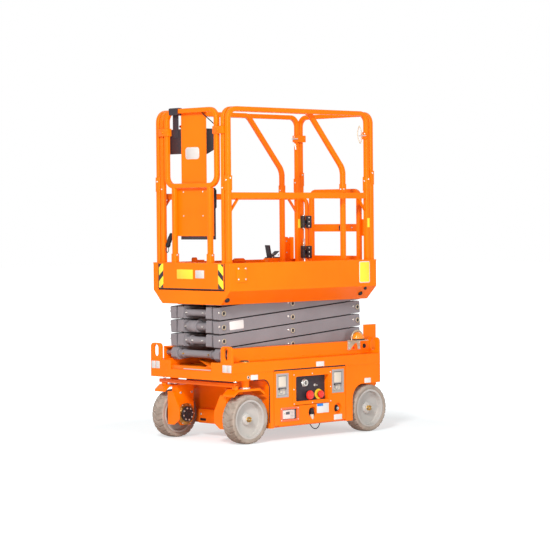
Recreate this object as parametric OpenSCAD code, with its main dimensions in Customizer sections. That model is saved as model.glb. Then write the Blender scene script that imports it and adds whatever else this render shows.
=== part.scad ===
// Compact self-propelled scissor lift with a roll-out deck and folding guard rails.
// Frame: +X forward (steered end), +Y left, +Z up, ground at z = 0, millimetres.

/* [Chassis] */
// Distance from the rear wheel centre to the rear plate
rear_overhang = 94; // [88:1:105]
// Width over the chassis sides
chassis_w = 760; // [750:1:800]
// Height of the side ledge above the ground
ledge_z = 505; // [500:1:512]
// Height of the front plate
front_plate_h = 110; // [100:1:116]
// Thickness of the frame plates
plate_t = 8; // [6:1:10]
// Ground clearance under the side boxes
belly_z = 84; // [70:1:100]
// Height of the rear sill above the ground
rear_sill_z = 317; // [314:1:330]
// Distance from the front plate to the rear wall of the front arch
front_arch_s = 322; // [318:1:330]
// Distance from the rear wheel centre to the front wall of the rear arch
rear_arch_lead = 166; // [160:1:172]
// Corner radius of the front arch
front_arch_r = 60; // [40:1:70]
// Corner radius of the rear arch
rear_arch_r = 100; // [80:1:110]
// Width of the notch in the front plate
notch_w = 440; // [420:1:460]
// Depth of the notch in the front plate
notch_h = 56; // [50:1:60]
// Height of the sunk deck between the scissor channels
well_z = 468; // [460:1:472]

/* [Side boxes] */
// Distance from the front plate to the front edge of a door
door_s = 355; // [345:1:365]
// Distance from a door's rear edge to the rear arch
door_margin = 65; // [55:1:75]
// Height of a door
door_h = 350; // [340:1:355]
// Thickness of a door
door_t = 22; // [18:1:26]
// Gap around a door
door_gap = 4; // [3:0.5:6]
// Diameter of the door hinge pin
door_pin_d = 10; // [8:1:12]
// Width of a paddle latch
latch_w = 106; // [95:1:112]
// Height of a paddle latch
latch_h = 150; // [140:1:155]
// Width of the ground control panel frame
panel_w = 310; // [300:1:316]
// Height of the ground control panel frame
panel_h = 222; // [210:1:230]
// Distance from the door's front edge to the panel frame
panel_s = 174; // [170:1:180]
// Diameter of the large stop button
button_d = 56; // [50:1:60]
// Diameter of the round openings in the left door
port_d = 72; // [66:1:76]
// Width of the charger window
window_w = 128; // [120:1:136]
// Height of the charger window
window_h = 68; // [62:1:72]
// Width of the battery pack
battery_w = 80; // [70:1:90]
// Height of the battery pack
battery_h = 252; // [230:1:270]
// Width of the hydraulic unit
unit_w = 136; // [120:1:144]
// Height of the hydraulic unit
unit_h = 222; // [200:1:240]

/* [Wheels] */
// Diameter of a tyre
tyre_d = 305; // [300:1:308]
// Width of a tyre
tyre_w = 100; // [90:1:104]
// Diameter of the rim seat inside a tyre
rim_d = 244; // [230:1:256]
// Distance from the front plate to the front wheel centre
front_wheel_s = 153; // [152:1:156]
// Distance between front and rear wheel centres
wheelbase = 1068; // [1062:1:1075]
// Diameter of the wheel hub
hub_d = 66; // [60:1:72]
// Diameter of a wheel spindle
spindle_d = 38; // [34:1:44]
// Diameter of a kingpin
kingpin_d = 30; // [26:1:34]
// Outer diameter of the kingpin housing
kingpin_boss_d = 54; // [50:1:60]
// Distance from kingpin to tie rod pin
steer_arm = 82; // [80:1:86]
// Diameter of a drive motor
motor_d = 138; // [128:1:140]
// Reach of a drive motor inward from the wheel's inner face
motor_l = 74; // [72:1:90]

/* [Lugs and ladder] */
// Width of a lifting lug
lug_w = 102; // [96:1:106]
// Height of a lifting lug above the ledge
lug_h = 103; // [95:1:110]
// Thickness of a lifting lug
lug_t = 15; // [12:1:18]
// Width of the slot in a lifting lug
lug_slot_w = 45; // [40:1:50]
// Rounding of the top corners of a lifting lug
lug_r = 25; // [18:1:28]
// Height of the slot in a lifting lug
lug_slot_h = 76; // [70:1:80]
// Reach of the ladder behind the chassis
ladder_reach = 115; // [100:1:130]
// Width over the ladder sides
ladder_w = 470; // [440:1:500]
// Top of the ladder above the ground
ladder_top_z = 687; // [660:1:700]

/* [Beacon] */
// Diameter of the beacon
beacon_d = 88; // [80:1:92]
// Distance from the rear plate to the beacon
beacon_in = 165; // [150:1:180]
// Top of the beacon's shelf above the ground
shelf_z = 597; // [594:1:604]
// Diameter of the beacon's guard bar
guard_d = 9; // [8:1:11]

/* [Scissor stack] */
// Distance from the rear plate to the stowed rear pins
rear_pin_in = 54; // [50:1:60]
// Height of an arm section
arm_h = 78; // [70:1:80]
// Width of an arm section
arm_w = 52; // [46:1:54]
// Side gap between inner and outer arms
arm_gap = 15; // [13:1:18]
// Half the clear width between the inner arms
arm_inner_y = 106; // [102:1:110]
// Height between the end pins of one level when stowed
stack_pitch = 86.3; // [84:0.1:90]
// Distance from the front plate to the front pins
base_pin_s = 74; // [72:1:80]
// Reach of an arm past its front pin
arm_tail = 38; // [32:1:40]
// Diameter of a scissor pin
pin_d = 30; // [26:1:32]
// Outer diameter of the cross tubes
cross_d = 46; // [42:1:50]
// Height of the slide channel on the chassis
channel_h = 83; // [80:1:88]
// Plate thickness of the slide channels
channel_t = 6; // [5:1:8]

/* [Lift cylinder] */
// Outer diameter of the cylinder barrel
barrel_d = 84; // [76:1:90]
// Diameter of the cylinder rod
ram_d = 50; // [44:1:56]
// Outer diameter of the cylinder eyes
eye_d = 74; // [68:1:80]
// Width of the cylinder eyes
eye_w = 52; // [46:1:58]
// Sideways place of the cylinder
ram_y = -36; // [-44:1:-30]
// Share of an arm between the rod eye pin and the arm's rear pin
ram_share = 0.2; // [0.18:0.01:0.22]

/* [Platform] */
// Distance from the rear plate to the platform's rear edge
deck_rear_in = 7; // [4:1:10]
// Width of the platform
deck_w = 716; // [706:1:730]
// Distance from the front plate to the platform's front edge
deck_s = 10; // [8:1:12]
// Top of the toe boards above the ground
toe_z = 1118; // [1100:1:1140]
// Lower edge of the upright sides above the ground
side_z = 945; // [938:1:952]
// Size of the slanted lower edge
chamfer = 85; // [78:1:88]
// Thickness of the platform sheet
sheet_t = 4; // [3:0.5:5]
// Top of the main floor above the ground
floor_z = 976; // [972:1:984]
// Width of the upright returns at the platform's front corners
return_w = 50; // [44:1:54]

/* [Guard rails] */
// Side of the square upper rail tube
tube_d = 30; // [28:1:32]
// Side of the square lower post tube
post_d = 33; // [30:1:35]
// Corner rounding of the tubes
tube_r = 6; // [4:1:8]
// Top of the guard rails above the ground
rail_z = 2080; // [2040:1:2120]
// Centre of the mid rail above the ground
mid_z = 1533; // [1500:1:1560]
// Top of the fold sockets above the ground
socket_z = 1655; // [1630:1:1680]
// Outer radius of the rail bends
bend_r = 78; // [66:1:90]
// Outer face of the main side rails from the centre plane
rail_y = 337; // [334:1:340]
// Distance from the front plate to the main front posts
rail_s = 22; // [20:1:30]
// Gap between neighbouring rails
rail_gap = 9; // [8:0.5:10]

/* [Gate] */
// Width of the gate
gate_w = 470; // [450:1:480]
// Top of the gate above the ground
gate_z = 1580; // [1550:1:1600]
// Height of the gate's flat mid bar
gate_bar_h = 50; // [40:1:60]
// Centre of the gate's flat mid bar above the ground
gate_bar_z = 1324; // [1300:1:1350]

/* [Roll-out deck] */
// Half width of the roll-out deck
ext_half_w = 302; // [298:1:304]
// Thickness of the roll-out floor
ext_floor_t = 6; // [5:1:8]
// How far the roll-out floor ends before the platform's rear edge
ext_short = 168; // [150:1:190]
// Length of the slanted part of the roll-out rails along the platform
slope_run = 308; // [290:1:330]
// Distance from the platform's rear edge to the rear posts of the roll-out rails
ext_post_in = 230; // [215:1:245]
// Height where the slanted rail meets its post
slope_z = 1705; // [1690:1:1730]
// Width over the front loop
loop_w = 494; // [480:1:510]
// Bottom of the front loop above the ground
loop_z = 1583; // [1570:1:1600]
// Distance between the outer faces of the loop's lower posts
stand_w = 360; // [340:1:380]
// Width of the plate in the front loop
plate_w = 234; // [220:1:250]

/* [Boxes on the platform] */
// Width of the control box
control_w = 320; // [300:1:330]
// Depth of the control box
control_d = 150; // [140:1:160]
// Height of the control box
control_h = 150; // [140:1:160]
// Width of the document box
document_w = 260; // [240:1:280]
// Depth of the document box
document_d = 60; // [50:1:70]
// Height of the document box
document_h = 320; // [300:1:330]

/* [Hidden] */
$fn = 48;

orange = [1, 0.50, 0.06];
arm_grey = [0.50, 0.48, 0.49];
dark = [0.16, 0.15, 0.16];
steel = [0.72, 0.72, 0.72];
tyre_grey = [0.60, 0.57, 0.54];
eps = 0.01;
lap = 2;           // overlap of plates that are welded together
joint_fit = 0.5;   // radial clearance of a pin in its bore
seat_gap = 0.3;    // gap between pieces that rest on each other

rear_wheel_s = front_wheel_s + wheelbase;
chassis_l = rear_wheel_s + rear_overhang;
rear_arch_s = rear_wheel_s - rear_arch_lead;
door_l = rear_arch_s - door_margin - door_s;
deck_l = chassis_l - deck_rear_in - deck_s;
ext_l = deck_l - ext_short;
ext_post_s = deck_s + deck_l - ext_post_in;
slope_s = ext_post_s - slope_run;
stow_run = chassis_l - rear_pin_in - base_pin_s;
arm_l = sqrt(stow_run * stow_run + stack_pitch * stack_pitch);

overall_l = chassis_l + ladder_reach;
front_x = overall_l / 2;
function at_s(s) = front_x - s;

half_w = chassis_w / 2;
front_sill_z = ledge_z - front_plate_h;
wheel_y = half_w - tyre_w / 2;
wheel_z = tyre_d / 2;
front_wheel_x = at_s(front_wheel_s);
rear_wheel_x = front_wheel_x - wheelbase;
arch_clear = 12;
inner_wall_y = half_w - tyre_w - arch_clear;     // outer face of the box between the rear wheels
box_wall_y = half_w / 2;                         // inner wall of the side boxes

arm_mid_inner = arm_inner_y + arm_w / 2;
arm_mid_outer = arm_inner_y + 1.5 * arm_w + arm_gap;
arm_outer_face = arm_inner_y + 2 * arm_w + arm_gap;
channel_in_y = arm_outer_face + 10;
channel_out_y = channel_in_y + 65;
well_y = channel_in_y - 3;                       // half width of the well that the arm ends swing in
pin_z0 = ledge_z + channel_h / 2;
stow_angle = atan(stack_pitch / stow_run);
front_pin_x = at_s(base_pin_s);
rear_pin_x = front_pin_x - stow_run;
function pin_z(level) = pin_z0 + level * stack_pitch;
deck_channel_h = 58;
deck_web_y = channel_in_y + 30;                  // inner face of the platform channel's web
deck_lug_y = arm_inner_y + arm_w + 2;
deck_lug_t = 10;
rear_tail = 26;

deck_x1 = at_s(deck_s);
deck_x0 = deck_x1 - deck_l;
deck_half = deck_w / 2;
skirt_z = side_z - chamfer;
panel_half = deck_half - return_w;
ext_floor_z = floor_z + seat_gap;
rail_front_x = at_s(rail_s);
rear_gap = 4;                                    // gap between the side rails and the rear frame
rear_frame_x = deck_x0 + tube_d;                 // front face of the rear frame
side_rear_x = rear_frame_x + rear_gap;           // rear face of the side rails
ext_rail_y = rail_y - tube_d - rail_gap;         // outer face of the roll-out side rails
loop_x = deck_x1 - 2 - tube_d / 2;
socket_t = 4;
socket_fit = 0.5;
socket_floor = 4;                                // thickness of a socket's floor
stand_socket_h = 56;
rail_grip = 90;                                  // depth of a rail foot in its socket
mid_h = 38;
mid_t = 24;
rear_socket_z = socket_z + 40;

// Rounded square tube section
module section(d, h) {
    square([d - 2 * tube_r, h], center = true);
    square([d, h - 2 * tube_r], center = true);
    for (i = [-1, 1], j = [-1, 1])
        translate([i * (d / 2 - tube_r), j * (h / 2 - tube_r)]) circle(tube_r);
}

// Upright tube
module upright(x, y, z0, z1, d) {
    translate([x, y, z0]) linear_extrude(z1 - z0) section(d, d);
}

// Tube along X
module tube_x(x0, x1, y, z, d) {
    translate([x0, y, z]) rotate([90, 0, 90]) linear_extrude(x1 - x0) section(d, d);
}

// Tube along Y
module tube_y(x, y0, y1, z, d) {
    translate([x, y1, z]) rotate([90, 0, 0]) linear_extrude(y1 - y0) section(d, d);
}

// Part of a ring of tube in the XY plane, centre line radius r, starting on +X
module tube_arc(r, turn, d) {
    rotate_extrude(angle = turn, $fn = 96) translate([r, 0]) section(d, d);
}

// Box given by two corners
module block(a, b) {
    translate(a) cube(b - a);
}

// Cylinder along Y between two sideways places
module rod_y(x, y0, y1, z, d) {
    translate([x, y1, z]) rotate([90, 0, 0]) cylinder(d = d, h = y1 - y0);
}

// Copies a shape to both sides
module both_sides() {
    children();
    mirror([0, 1, 0]) children();
}

// Outline of one chassis side in the XZ plane, with both arches
module side_outline() {
    difference() {
        translate([at_s(chassis_l), belly_z]) square([chassis_l, ledge_z - belly_z]);
        translate([at_s(front_arch_s), 0]) square([front_arch_s + lap, front_sill_z - front_arch_r]);
        translate([at_s(front_arch_s - front_arch_r), 0]) square([front_arch_s, front_sill_z]);
        translate([at_s(front_arch_s - front_arch_r), front_sill_z - front_arch_r]) circle(front_arch_r);
        translate([at_s(chassis_l + lap), 0]) square([chassis_l - rear_arch_s + lap, rear_sill_z - rear_arch_r]);
        translate([at_s(chassis_l + lap), 0]) square([chassis_l - rear_arch_s - rear_arch_r + lap, rear_sill_z]);
        translate([at_s(rear_arch_s + rear_arch_r), rear_sill_z - rear_arch_r]) circle(rear_arch_r);
    }
}

// Plate of the side outline between two sideways places
module side_slab(y0, y1) {
    translate([0, y1, 0]) rotate([90, 0, 0]) linear_extrude(y1 - y0) side_outline();
}

door_x1 = at_s(door_s);
door_x0 = door_x1 - door_l;
door_z0 = belly_z + door_gap;
door_hinge_z = door_z0 + door_pin_d;
door_hinge_y = half_w - door_pin_d;
jamb_w = 30;
crease_d = 1.5;                                  // depth of the crease along the side
crease_h = 3;

// One side of the chassis: hollow box with a door opening, ledge, sills and arches
module side_box() {
    difference() {
        side_slab(box_wall_y, half_w);
        block([door_x0 - door_gap, half_w - door_t - door_gap, belly_z - lap],
            [door_x1 + door_gap, half_w + lap, door_z0 + door_h + door_gap]);
        block([door_x0 + jamb_w, box_wall_y + plate_t, belly_z + plate_t],
            [door_x1 - jamb_w, half_w, door_z0 + door_h]);
        block([at_s(chassis_l - plate_t), box_wall_y - lap, rear_sill_z + plate_t],
            [at_s(rear_arch_s + plate_t), half_w - plate_t, ledge_z - plate_t]);
        block([at_s(front_arch_s - plate_t), box_wall_y - lap, front_sill_z + plate_t],
            [at_s(plate_t), half_w - plate_t, ledge_z - plate_t]);
        block([at_s(chassis_l - plate_t), box_wall_y - lap, well_z], [at_s(plate_t), well_y, ledge_z + lap]);
        block([at_s(chassis_l + lap), half_w - crease_d, door_z0 + door_h], [at_s(-lap), half_w + lap, door_z0 + door_h + crease_h]);
        kingpin_bore();
    }
}

kingpin_top_z = ledge_z - plate_t;
knuckle_plate_z = tyre_d + 22;
knuckle_plate_t = 14;
knuckle_top_z = knuckle_plate_z + knuckle_plate_t;
kingpin_seat = 3;                                // gap between knuckle plate and kingpin housing

kingpin_roof = 20;                               // metal left above a kingpin

module kingpin_bore() {
    translate([front_wheel_x, wheel_y, 0]) cylinder(d = kingpin_d + 2 * joint_fit, h = kingpin_top_z - kingpin_roof);
}

module kingpin_housing() {
    z0 = knuckle_top_z + kingpin_seat;
    difference() {
        translate([front_wheel_x, wheel_y, z0]) cylinder(d = kingpin_boss_d, h = kingpin_top_z - z0 + lap);
        kingpin_bore();
    }
}

axle_box_y = inner_wall_y - arch_clear;          // half width of the box between the rear wheels
axle_box_z = wheel_z - 60;                       // foot of that box
bulkhead_z = belly_z + 30;                       // foot of the bulkhead behind the front axle

// Deck between the side boxes, sunk below the ledges, with the notched front plate and the rear plate
module centre_deck() {
    w = box_wall_y + lap;
    difference() {
        block([at_s(chassis_l), -w, rear_sill_z], [at_s(0), w, ledge_z]);
        block([at_s(chassis_l - plate_t), -w - 1, well_z], [at_s(plate_t), w + 1, ledge_z + 1]);
        block([at_s(front_arch_s), -w - 1, 0], [at_s(0) + 1, w + 1, front_sill_z]);
        block([at_s(front_arch_s), -w - 1, front_sill_z + plate_t], [at_s(plate_t), w + 1, well_z - plate_t]);
        block([at_s(plate_t) - 1, -notch_w / 2, ledge_z - notch_h], [at_s(0) + 1, notch_w / 2, ledge_z + 1]);
        block([at_s(chassis_l - plate_t), -w - 1, rear_sill_z - 1],
            [at_s(front_arch_s + plate_t), w + 1, well_z - plate_t]);
    }
    block([at_s(chassis_l - plate_t + lap), -well_y - lap, well_z - plate_t], [at_s(plate_t - lap), well_y + lap, well_z]);
    both_sides()
        block([at_s(chassis_l - plate_t + lap), well_y, well_z - plate_t],
            [at_s(plate_t - lap), well_y + plate_t, ledge_z - lap]);
}

// Box across the machine that carries the rear wheels
module axle_box() {
    difference() {
        block([at_s(chassis_l - plate_t), -axle_box_y, axle_box_z], [at_s(rear_arch_s - lap), axle_box_y, rear_sill_z + lap]);
        block([at_s(chassis_l - 2 * plate_t), -axle_box_y + plate_t, axle_box_z + plate_t],
            [at_s(rear_arch_s - lap) + 1, axle_box_y - plate_t, rear_sill_z + lap + 1]);
    }
}

module chassis_frame() {
    color(orange) {
        both_sides() {
            side_box();
            door_pin(0);
            kingpin_housing();
        }
        centre_deck();
        axle_box();
        block([at_s(front_arch_s + plate_t), -box_wall_y - lap, bulkhead_z],
            [at_s(front_arch_s), box_wall_y + lap, front_sill_z + plate_t]);
        block([at_s(rear_arch_s), -box_wall_y - lap, belly_z], [at_s(front_arch_s), box_wall_y + lap, belly_z + plate_t]);
    }
}

// C-channel that guides a roller, open toward the centre plane
module slide_channel(x0, x1, z0, h) {
    difference() {
        block([x0, channel_in_y, z0], [x1, channel_out_y, z0 + h]);
        block([x0 - 1, channel_in_y - 1, z0 + channel_t], [x1 + 1, channel_out_y - channel_t, z0 + h - channel_t]);
    }
}

channel_front_s = 40;
channel_rear_s = chassis_l - 15;

module scissor_channels() {
    color(orange) both_sides() {
        difference() {
            slide_channel(at_s(channel_rear_s), at_s(channel_front_s), ledge_z + seat_gap, channel_h - seat_gap);
            rod_y(front_pin_x, channel_out_y - channel_t - 1, channel_out_y + 1, pin_z0, pin_d + 2 * joint_fit);
        }
    }
}

lug_slot_up = 4;                                 // slot centre above the middle of a lug

// Outline of a lug in the YZ plane, with rounded top corners
module lug_outline() {
    y0 = half_w - lug_w;
    translate([y0, ledge_z + seat_gap]) square([lug_w, lug_h - lug_r - seat_gap]);
    translate([y0 + lug_r, ledge_z + seat_gap]) square([lug_w - 2 * lug_r, lug_h - seat_gap]);
    for (y = [y0 + lug_r, half_w - lug_r])
        translate([y, ledge_z + lug_h - lug_r]) circle(lug_r);
}

// Long slot of a lug
module lug_slot() {
    reach = (lug_slot_h - lug_slot_w) / 2;
    translate([half_w - lug_w / 2, ledge_z + lug_h / 2 + lug_slot_up]) {
        square([lug_slot_w, 2 * reach], center = true);
        for (i = [-1, 1])
            translate([0, i * reach]) circle(d = lug_slot_w);
    }
}

// Upright lug plate across the machine
module lug(x) {
    translate([x, 0, 0]) rotate([90, 0, 90]) linear_extrude(lug_t) difference() {
        lug_outline();
        lug_slot();
    }
}

module lifting_lugs() {
    color(orange) both_sides() {
        lug(at_s(lug_t));
        lug(at_s(chassis_l));
    }
}

ladder_plate_t = 8;
rung_h = 30;
rung_d = 60;
rung_in = 5;                                     // rungs stand back from the edges of the sides
rung_pitch = 150;
ladder_drop = 70;                                // foot of the sides below the rear sill
ladder_cut = 60;

module ladder() {
    color(orange) {
        both_sides()
            difference() {
                block([at_s(chassis_l + ladder_reach), ladder_w / 2 - ladder_plate_t, rear_sill_z - ladder_drop],
                    [at_s(chassis_l + seat_gap), ladder_w / 2, ladder_top_z]);
                translate([at_s(chassis_l + ladder_reach), 0, rear_sill_z - ladder_drop])
                    rotate([0, 45, 0]) cube([ladder_cut, chassis_w, ladder_cut], center = true);
            }
        for (i = [0:2])
            block([at_s(chassis_l + ladder_reach - rung_in), lap - ladder_w / 2, rear_sill_z - rung_h + i * rung_pitch],
                [at_s(chassis_l + ladder_reach - rung_in - rung_d), ladder_w / 2 - lap, rear_sill_z + i * rung_pitch]);
    }
}

wheel_in_y = half_w - tyre_w;
spindle_out_y = half_w - 22;
boss_gap = 3;                                    // gap between a rear axle boss and its wheel
boss_step = 10;

module rear_axle() {
    color(dark) both_sides() {
        rod_y(rear_wheel_x, axle_box_y + seat_gap, wheel_in_y - boss_gap, wheel_z, hub_d + 2 * boss_step);
        rod_y(rear_wheel_x, wheel_in_y - boss_gap - lap, spindle_out_y, wheel_z, spindle_d);
    }
}

bay_gap = 6;

module battery_pack() {
    color(dark)
        block([door_x0 + jamb_w + bay_gap, box_wall_y + plate_t + bay_gap, belly_z + plate_t + seat_gap],
            [door_x1 - jamb_w - bay_gap, box_wall_y + plate_t + bay_gap + battery_w, belly_z + plate_t + battery_h]);
}

module hydraulic_unit() {
    color(dark) mirror([0, 1, 0])
        block([door_x0 + jamb_w + bay_gap, box_wall_y + plate_t + bay_gap, belly_z + plate_t + seat_gap],
            [door_x1 - jamb_w - bay_gap, box_wall_y + plate_t + bay_gap + unit_w, belly_z + plate_t + unit_h]);
}

beacon_x = at_s(chassis_l - beacon_in);
beacon_y = half_w - beacon_d / 2 - 2;
beacon_foot = 8;
dome_flat = 0.5;                                 // the dome's top is cut flat by this much
shelf_t = 4;
shelf_half = 58;
bracket_h = 64;                                  // height of the bracket's leg on the channel
guard_r = beacon_d / 2 + 8;
guard_leg = 10;

// Domed lamp
module beacon() {
    color([1, 0.62, 0.10])
        translate([beacon_x, beacon_y, shelf_z + seat_gap])
            rotate_extrude() {
                square([beacon_d / 2, beacon_foot]);
                translate([0, beacon_foot]) intersection() {
                    circle(d = beacon_d);
                    square([beacon_d, beacon_d / 2 - dome_flat]);
                }
            }
}

// Bracket bolted to the channel, with a bent bar over the lamp
module beacon_guard() {
    color(steel) {
        block([beacon_x - shelf_half, channel_out_y + seat_gap, shelf_z - bracket_h],
            [beacon_x + shelf_half, channel_out_y + seat_gap + shelf_t, shelf_z]);
        block([beacon_x - shelf_half, channel_out_y + seat_gap, shelf_z - shelf_t], [beacon_x + shelf_half, half_w - lap, shelf_z]);
        for (i = [-1, 1])
            translate([beacon_x + i * guard_r, beacon_y, shelf_z - lap]) cylinder(d = guard_d, h = guard_leg + lap);
        translate([beacon_x, beacon_y, shelf_z + guard_leg]) rotate([90, 0, 0])
            rotate_extrude(angle = 180) translate([guard_r, 0]) circle(d = guard_d);
    }
}

door_edge = 14;
door_skin = 6;
barrel_in = 40;                                  // hinge barrel stands back from the door's ends
pin_seat = 10;                                   // depth of the hinge pin in a jamb
latch_proud = 3;
latch_edge = 18;
latch_top_z = door_z0 + door_h - 16;
latch_flange = 12;
latch_depth = 15;
latch_wall = 2;
paddle_share = 0.62;
paddle_t = 5;

// Hinge barrel along the foot of a door
module door_barrel() {
    translate([door_x0 + barrel_in, door_hinge_y, door_hinge_z]) rotate([0, 90, 0])
        cylinder(d = 2 * door_pin_d, h = door_l - 2 * barrel_in);
}

// Hinge pin of a door between its jambs
module door_pin(fit) {
    translate([door_x0 - door_gap - pin_seat, door_hinge_y, door_hinge_z]) rotate([0, 90, 0])
        cylinder(d = door_pin_d + 2 * fit, h = door_l + 2 * door_gap + 2 * pin_seat);
}

// Copies a shape drawn from a latch's lower front corner to both latches
module each_latch() {
    for (x = [door_x1 - latch_edge - latch_w, door_x0 + latch_edge])
        translate([x, half_w, latch_top_z - latch_h]) children();
}

// Door leaf with a hinge barrel at its foot and openings for its latches
module door_leaf() {
    difference() {
        union() {
            block([door_x0, half_w - door_t, door_hinge_z], [door_x1, half_w, door_z0 + door_h]);
            door_barrel();
        }
        block([door_x0 + door_edge, half_w - door_t - lap, door_hinge_z + 2 * door_pin_d + 4],
            [door_x1 - door_edge, half_w - door_skin, door_z0 + door_h - door_edge]);
        each_latch()
            block([latch_flange, -door_skin - lap, latch_flange], [latch_w - latch_flange, lap, latch_h - latch_flange]);
        door_pin(joint_fit);
    }
}

panel_x1 = door_x1 - panel_s;
panel_x0 = panel_x1 - panel_w;
panel_z1 = door_z0 + door_h - 8;
panel_z0 = panel_z1 - panel_h;
panel_depth = 52;
panel_floor = 34;                                // depth of the control panel below the door's face
tray_t = 4;
port_s = [334, 564];                             // places of the round openings behind the door's front edge
port_z = [163, 172];
window_s = 133;
window_z = 161;

// Left door with the control recess, the charger window and the round openings
module door_left() {
    color(orange) difference() {
        union() {
            door_leaf();
            block([panel_x0, half_w - panel_depth, panel_z0], [panel_x1, half_w - lap, panel_z1]);
        }
        block([panel_x0 + tray_t, half_w - panel_depth + tray_t, panel_z0 + tray_t],
            [panel_x1 - tray_t, half_w + lap, panel_z1 - tray_t]);
        for (i = [0, 1])
            rod_y(door_x1 - port_s[i], half_w - door_skin - lap, half_w + lap, port_z[i], port_d);
        block([door_x1 - window_s - window_w / 2, half_w - door_skin - lap, window_z - window_h / 2],
            [door_x1 - window_s + window_w / 2, half_w + lap, window_z + window_h / 2]);
    }
}

module door_right() {
    color(orange) mirror([0, 1, 0]) door_leaf();
}

// Paddle latches: a flanged tray with a hinged paddle in its upper part
module latches() {
    inset = latch_flange + seat_gap;
    each_latch() {
        difference() {
            union() {
                block([0, seat_gap, 0], [latch_w, latch_proud, latch_h]);
                block([inset, -latch_depth, inset], [latch_w - inset, seat_gap + 1, latch_h - inset]);
            }
            block([inset + latch_wall, -latch_depth + latch_wall, inset + latch_wall],
                [latch_w - inset - latch_wall, latch_proud + lap, latch_h - inset - latch_wall]);
        }
        block([inset + 2 * latch_wall, -paddle_t, latch_h - inset - paddle_share * (latch_h - 2 * inset)],
            [latch_w - inset - 2 * latch_wall, 0, latch_h - inset - latch_wall + 1]);
    }
}

module door_left_latches() {
    color(steel) latches();
}

module door_right_latches() {
    color(steel) mirror([0, 1, 0]) latches();
}

small_button_d = 45;
key_d = 40;
stem_share = 0.5;
head_t = 13;
button_s = [148, 246];                           // places of the stop buttons behind the panel's front edge
button_up = 63;
key_s = 122;
key_up = 141;
charger_gap = 1;

// Stop button with a mushroom head
module stop_button(s, d) {
    y0 = half_w - panel_floor;
    rod_y(panel_x1 - s, y0 - lap, half_w - head_t, panel_z0 + button_up, d * stem_share);
    rod_y(panel_x1 - s, half_w - head_t - lap, half_w - lap, panel_z0 + button_up, d);
}

// Control panel on the floor of the recess, its buttons and the charger behind its window
module ground_controls() {
    fit = tray_t + seat_gap;
    y1 = half_w - panel_floor;
    color(dark) {
        block([panel_x0 + fit, half_w - panel_depth + fit, panel_z0 + fit], [panel_x1 - fit, y1, panel_z1 - fit]);
        stop_button(button_s[0], button_d);
        stop_button(button_s[1], small_button_d);
        rod_y(panel_x1 - key_s, y1 - lap, y1 + head_t, panel_z0 + key_up, key_d);
        block([door_x1 - window_s - window_w / 2 - lap, half_w - door_t, window_z - window_h / 2 - lap],
            [door_x1 - window_s + window_w / 2 + lap, half_w - door_skin - seat_gap, window_z + window_h / 2 + lap]);
    }
}

tie_pin_d = 16;
steer_post_d = 40;
roof_half = 90;                                  // half length of the flat top over the tyre
roof_reach = 130;                                // half length over its bent ends
roof_drop = 30;                                  // fall of the bent ends
roof_out = 42;                                   // reach outward of the wheel's centre plane
tyre_gap = 6;                                    // gap between the yoke and the tyre's side
yoke_in = 56;                                    // reach of the yoke inward of the wheel
yoke_t = 12;
yoke_half = 70;
yoke_foot = 70;                                  // foot of the yoke below the wheel's centre
yoke_cut = 30;

// Shape drawn in the XZ plane around the front wheel's axis, between two sideways places
module beside_wheel(y0, y1) {
    translate([front_wheel_x, y1, 0]) rotate([90, 0, 0]) linear_extrude(y1 - y0) children();
}

// Plate over the tyre with bent ends
module knuckle_roof() {
    z1 = knuckle_top_z;
    z0 = knuckle_plate_z;
    polygon([[-roof_reach, z1 - roof_drop], [-roof_half, z1], [roof_half, z1], [roof_reach, z1 - roof_drop],
        [roof_reach, z0 - roof_drop], [roof_half, z0], [-roof_half, z0], [-roof_reach, z0 - roof_drop]]);
}

// Outline of the yoke plate that carries the motor
module yoke_outline() {
    foot = wheel_z - yoke_foot;
    top = knuckle_plate_z + lap;
    polygon([[-yoke_half, top], [yoke_half, top], [yoke_half, foot + yoke_cut], [yoke_half - yoke_cut, foot],
        [yoke_cut - yoke_half, foot], [-yoke_half, foot + 2 * yoke_cut]]);
}

// Steered knuckle: roof, kingpin, post for the tie rod, yoke with a front flange and stub axle
module knuckle() {
    y_in = wheel_in_y - yoke_in;
    y_out = wheel_in_y - tyre_gap;
    beside_wheel(y_out - lap, wheel_y + roof_out) knuckle_roof();
    beside_wheel(y_in, y_in + yoke_t) yoke_outline();
    block([front_wheel_x - yoke_half, y_in, knuckle_plate_z], [front_wheel_x + yoke_half, y_out + lap, knuckle_top_z]);
    block([front_wheel_x + yoke_half - yoke_t, y_in, wheel_z - yoke_foot + yoke_cut],
        [front_wheel_x + yoke_half, y_out, knuckle_plate_z + lap]);
    translate([front_wheel_x + steer_arm, wheel_y, knuckle_top_z - lap]) {
        cylinder(d = steer_post_d, h = tie_z - knuckle_top_z);
        cylinder(d = tie_pin_d, h = tie_z + tie_t - knuckle_top_z + 2 * lap);
    }
    translate([front_wheel_x, wheel_y, knuckle_plate_z])
        cylinder(d = kingpin_d, h = kingpin_top_z - knuckle_plate_z - kingpin_roof - 2 * lap);
    rod_y(front_wheel_x, y_in + lap, spindle_out_y, wheel_z, spindle_d);
}

module knuckle_left() {
    color(orange) knuckle();
}

module knuckle_right() {
    color(orange) mirror([0, 1, 0]) knuckle();
}

motor_flange_t = 8;
motor_step = 22;

// Drive motor on the yoke
module motor() {
    y1 = wheel_in_y - yoke_in - seat_gap;
    rod_y(front_wheel_x, y1 - motor_flange_t, y1, wheel_z, motor_d);
    rod_y(front_wheel_x, wheel_in_y - motor_l, y1 - motor_flange_t + lap, wheel_z, motor_d - 2 * motor_step);
}

module drive_motor_left() {
    color([0.66, 0.52, 0.28]) motor();
}

module drive_motor_right() {
    color([0.66, 0.52, 0.28]) mirror([0, 1, 0]) motor();
}

tie_t = 10;
tie_w = 28;
tie_z = knuckle_top_z + 28;

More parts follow.
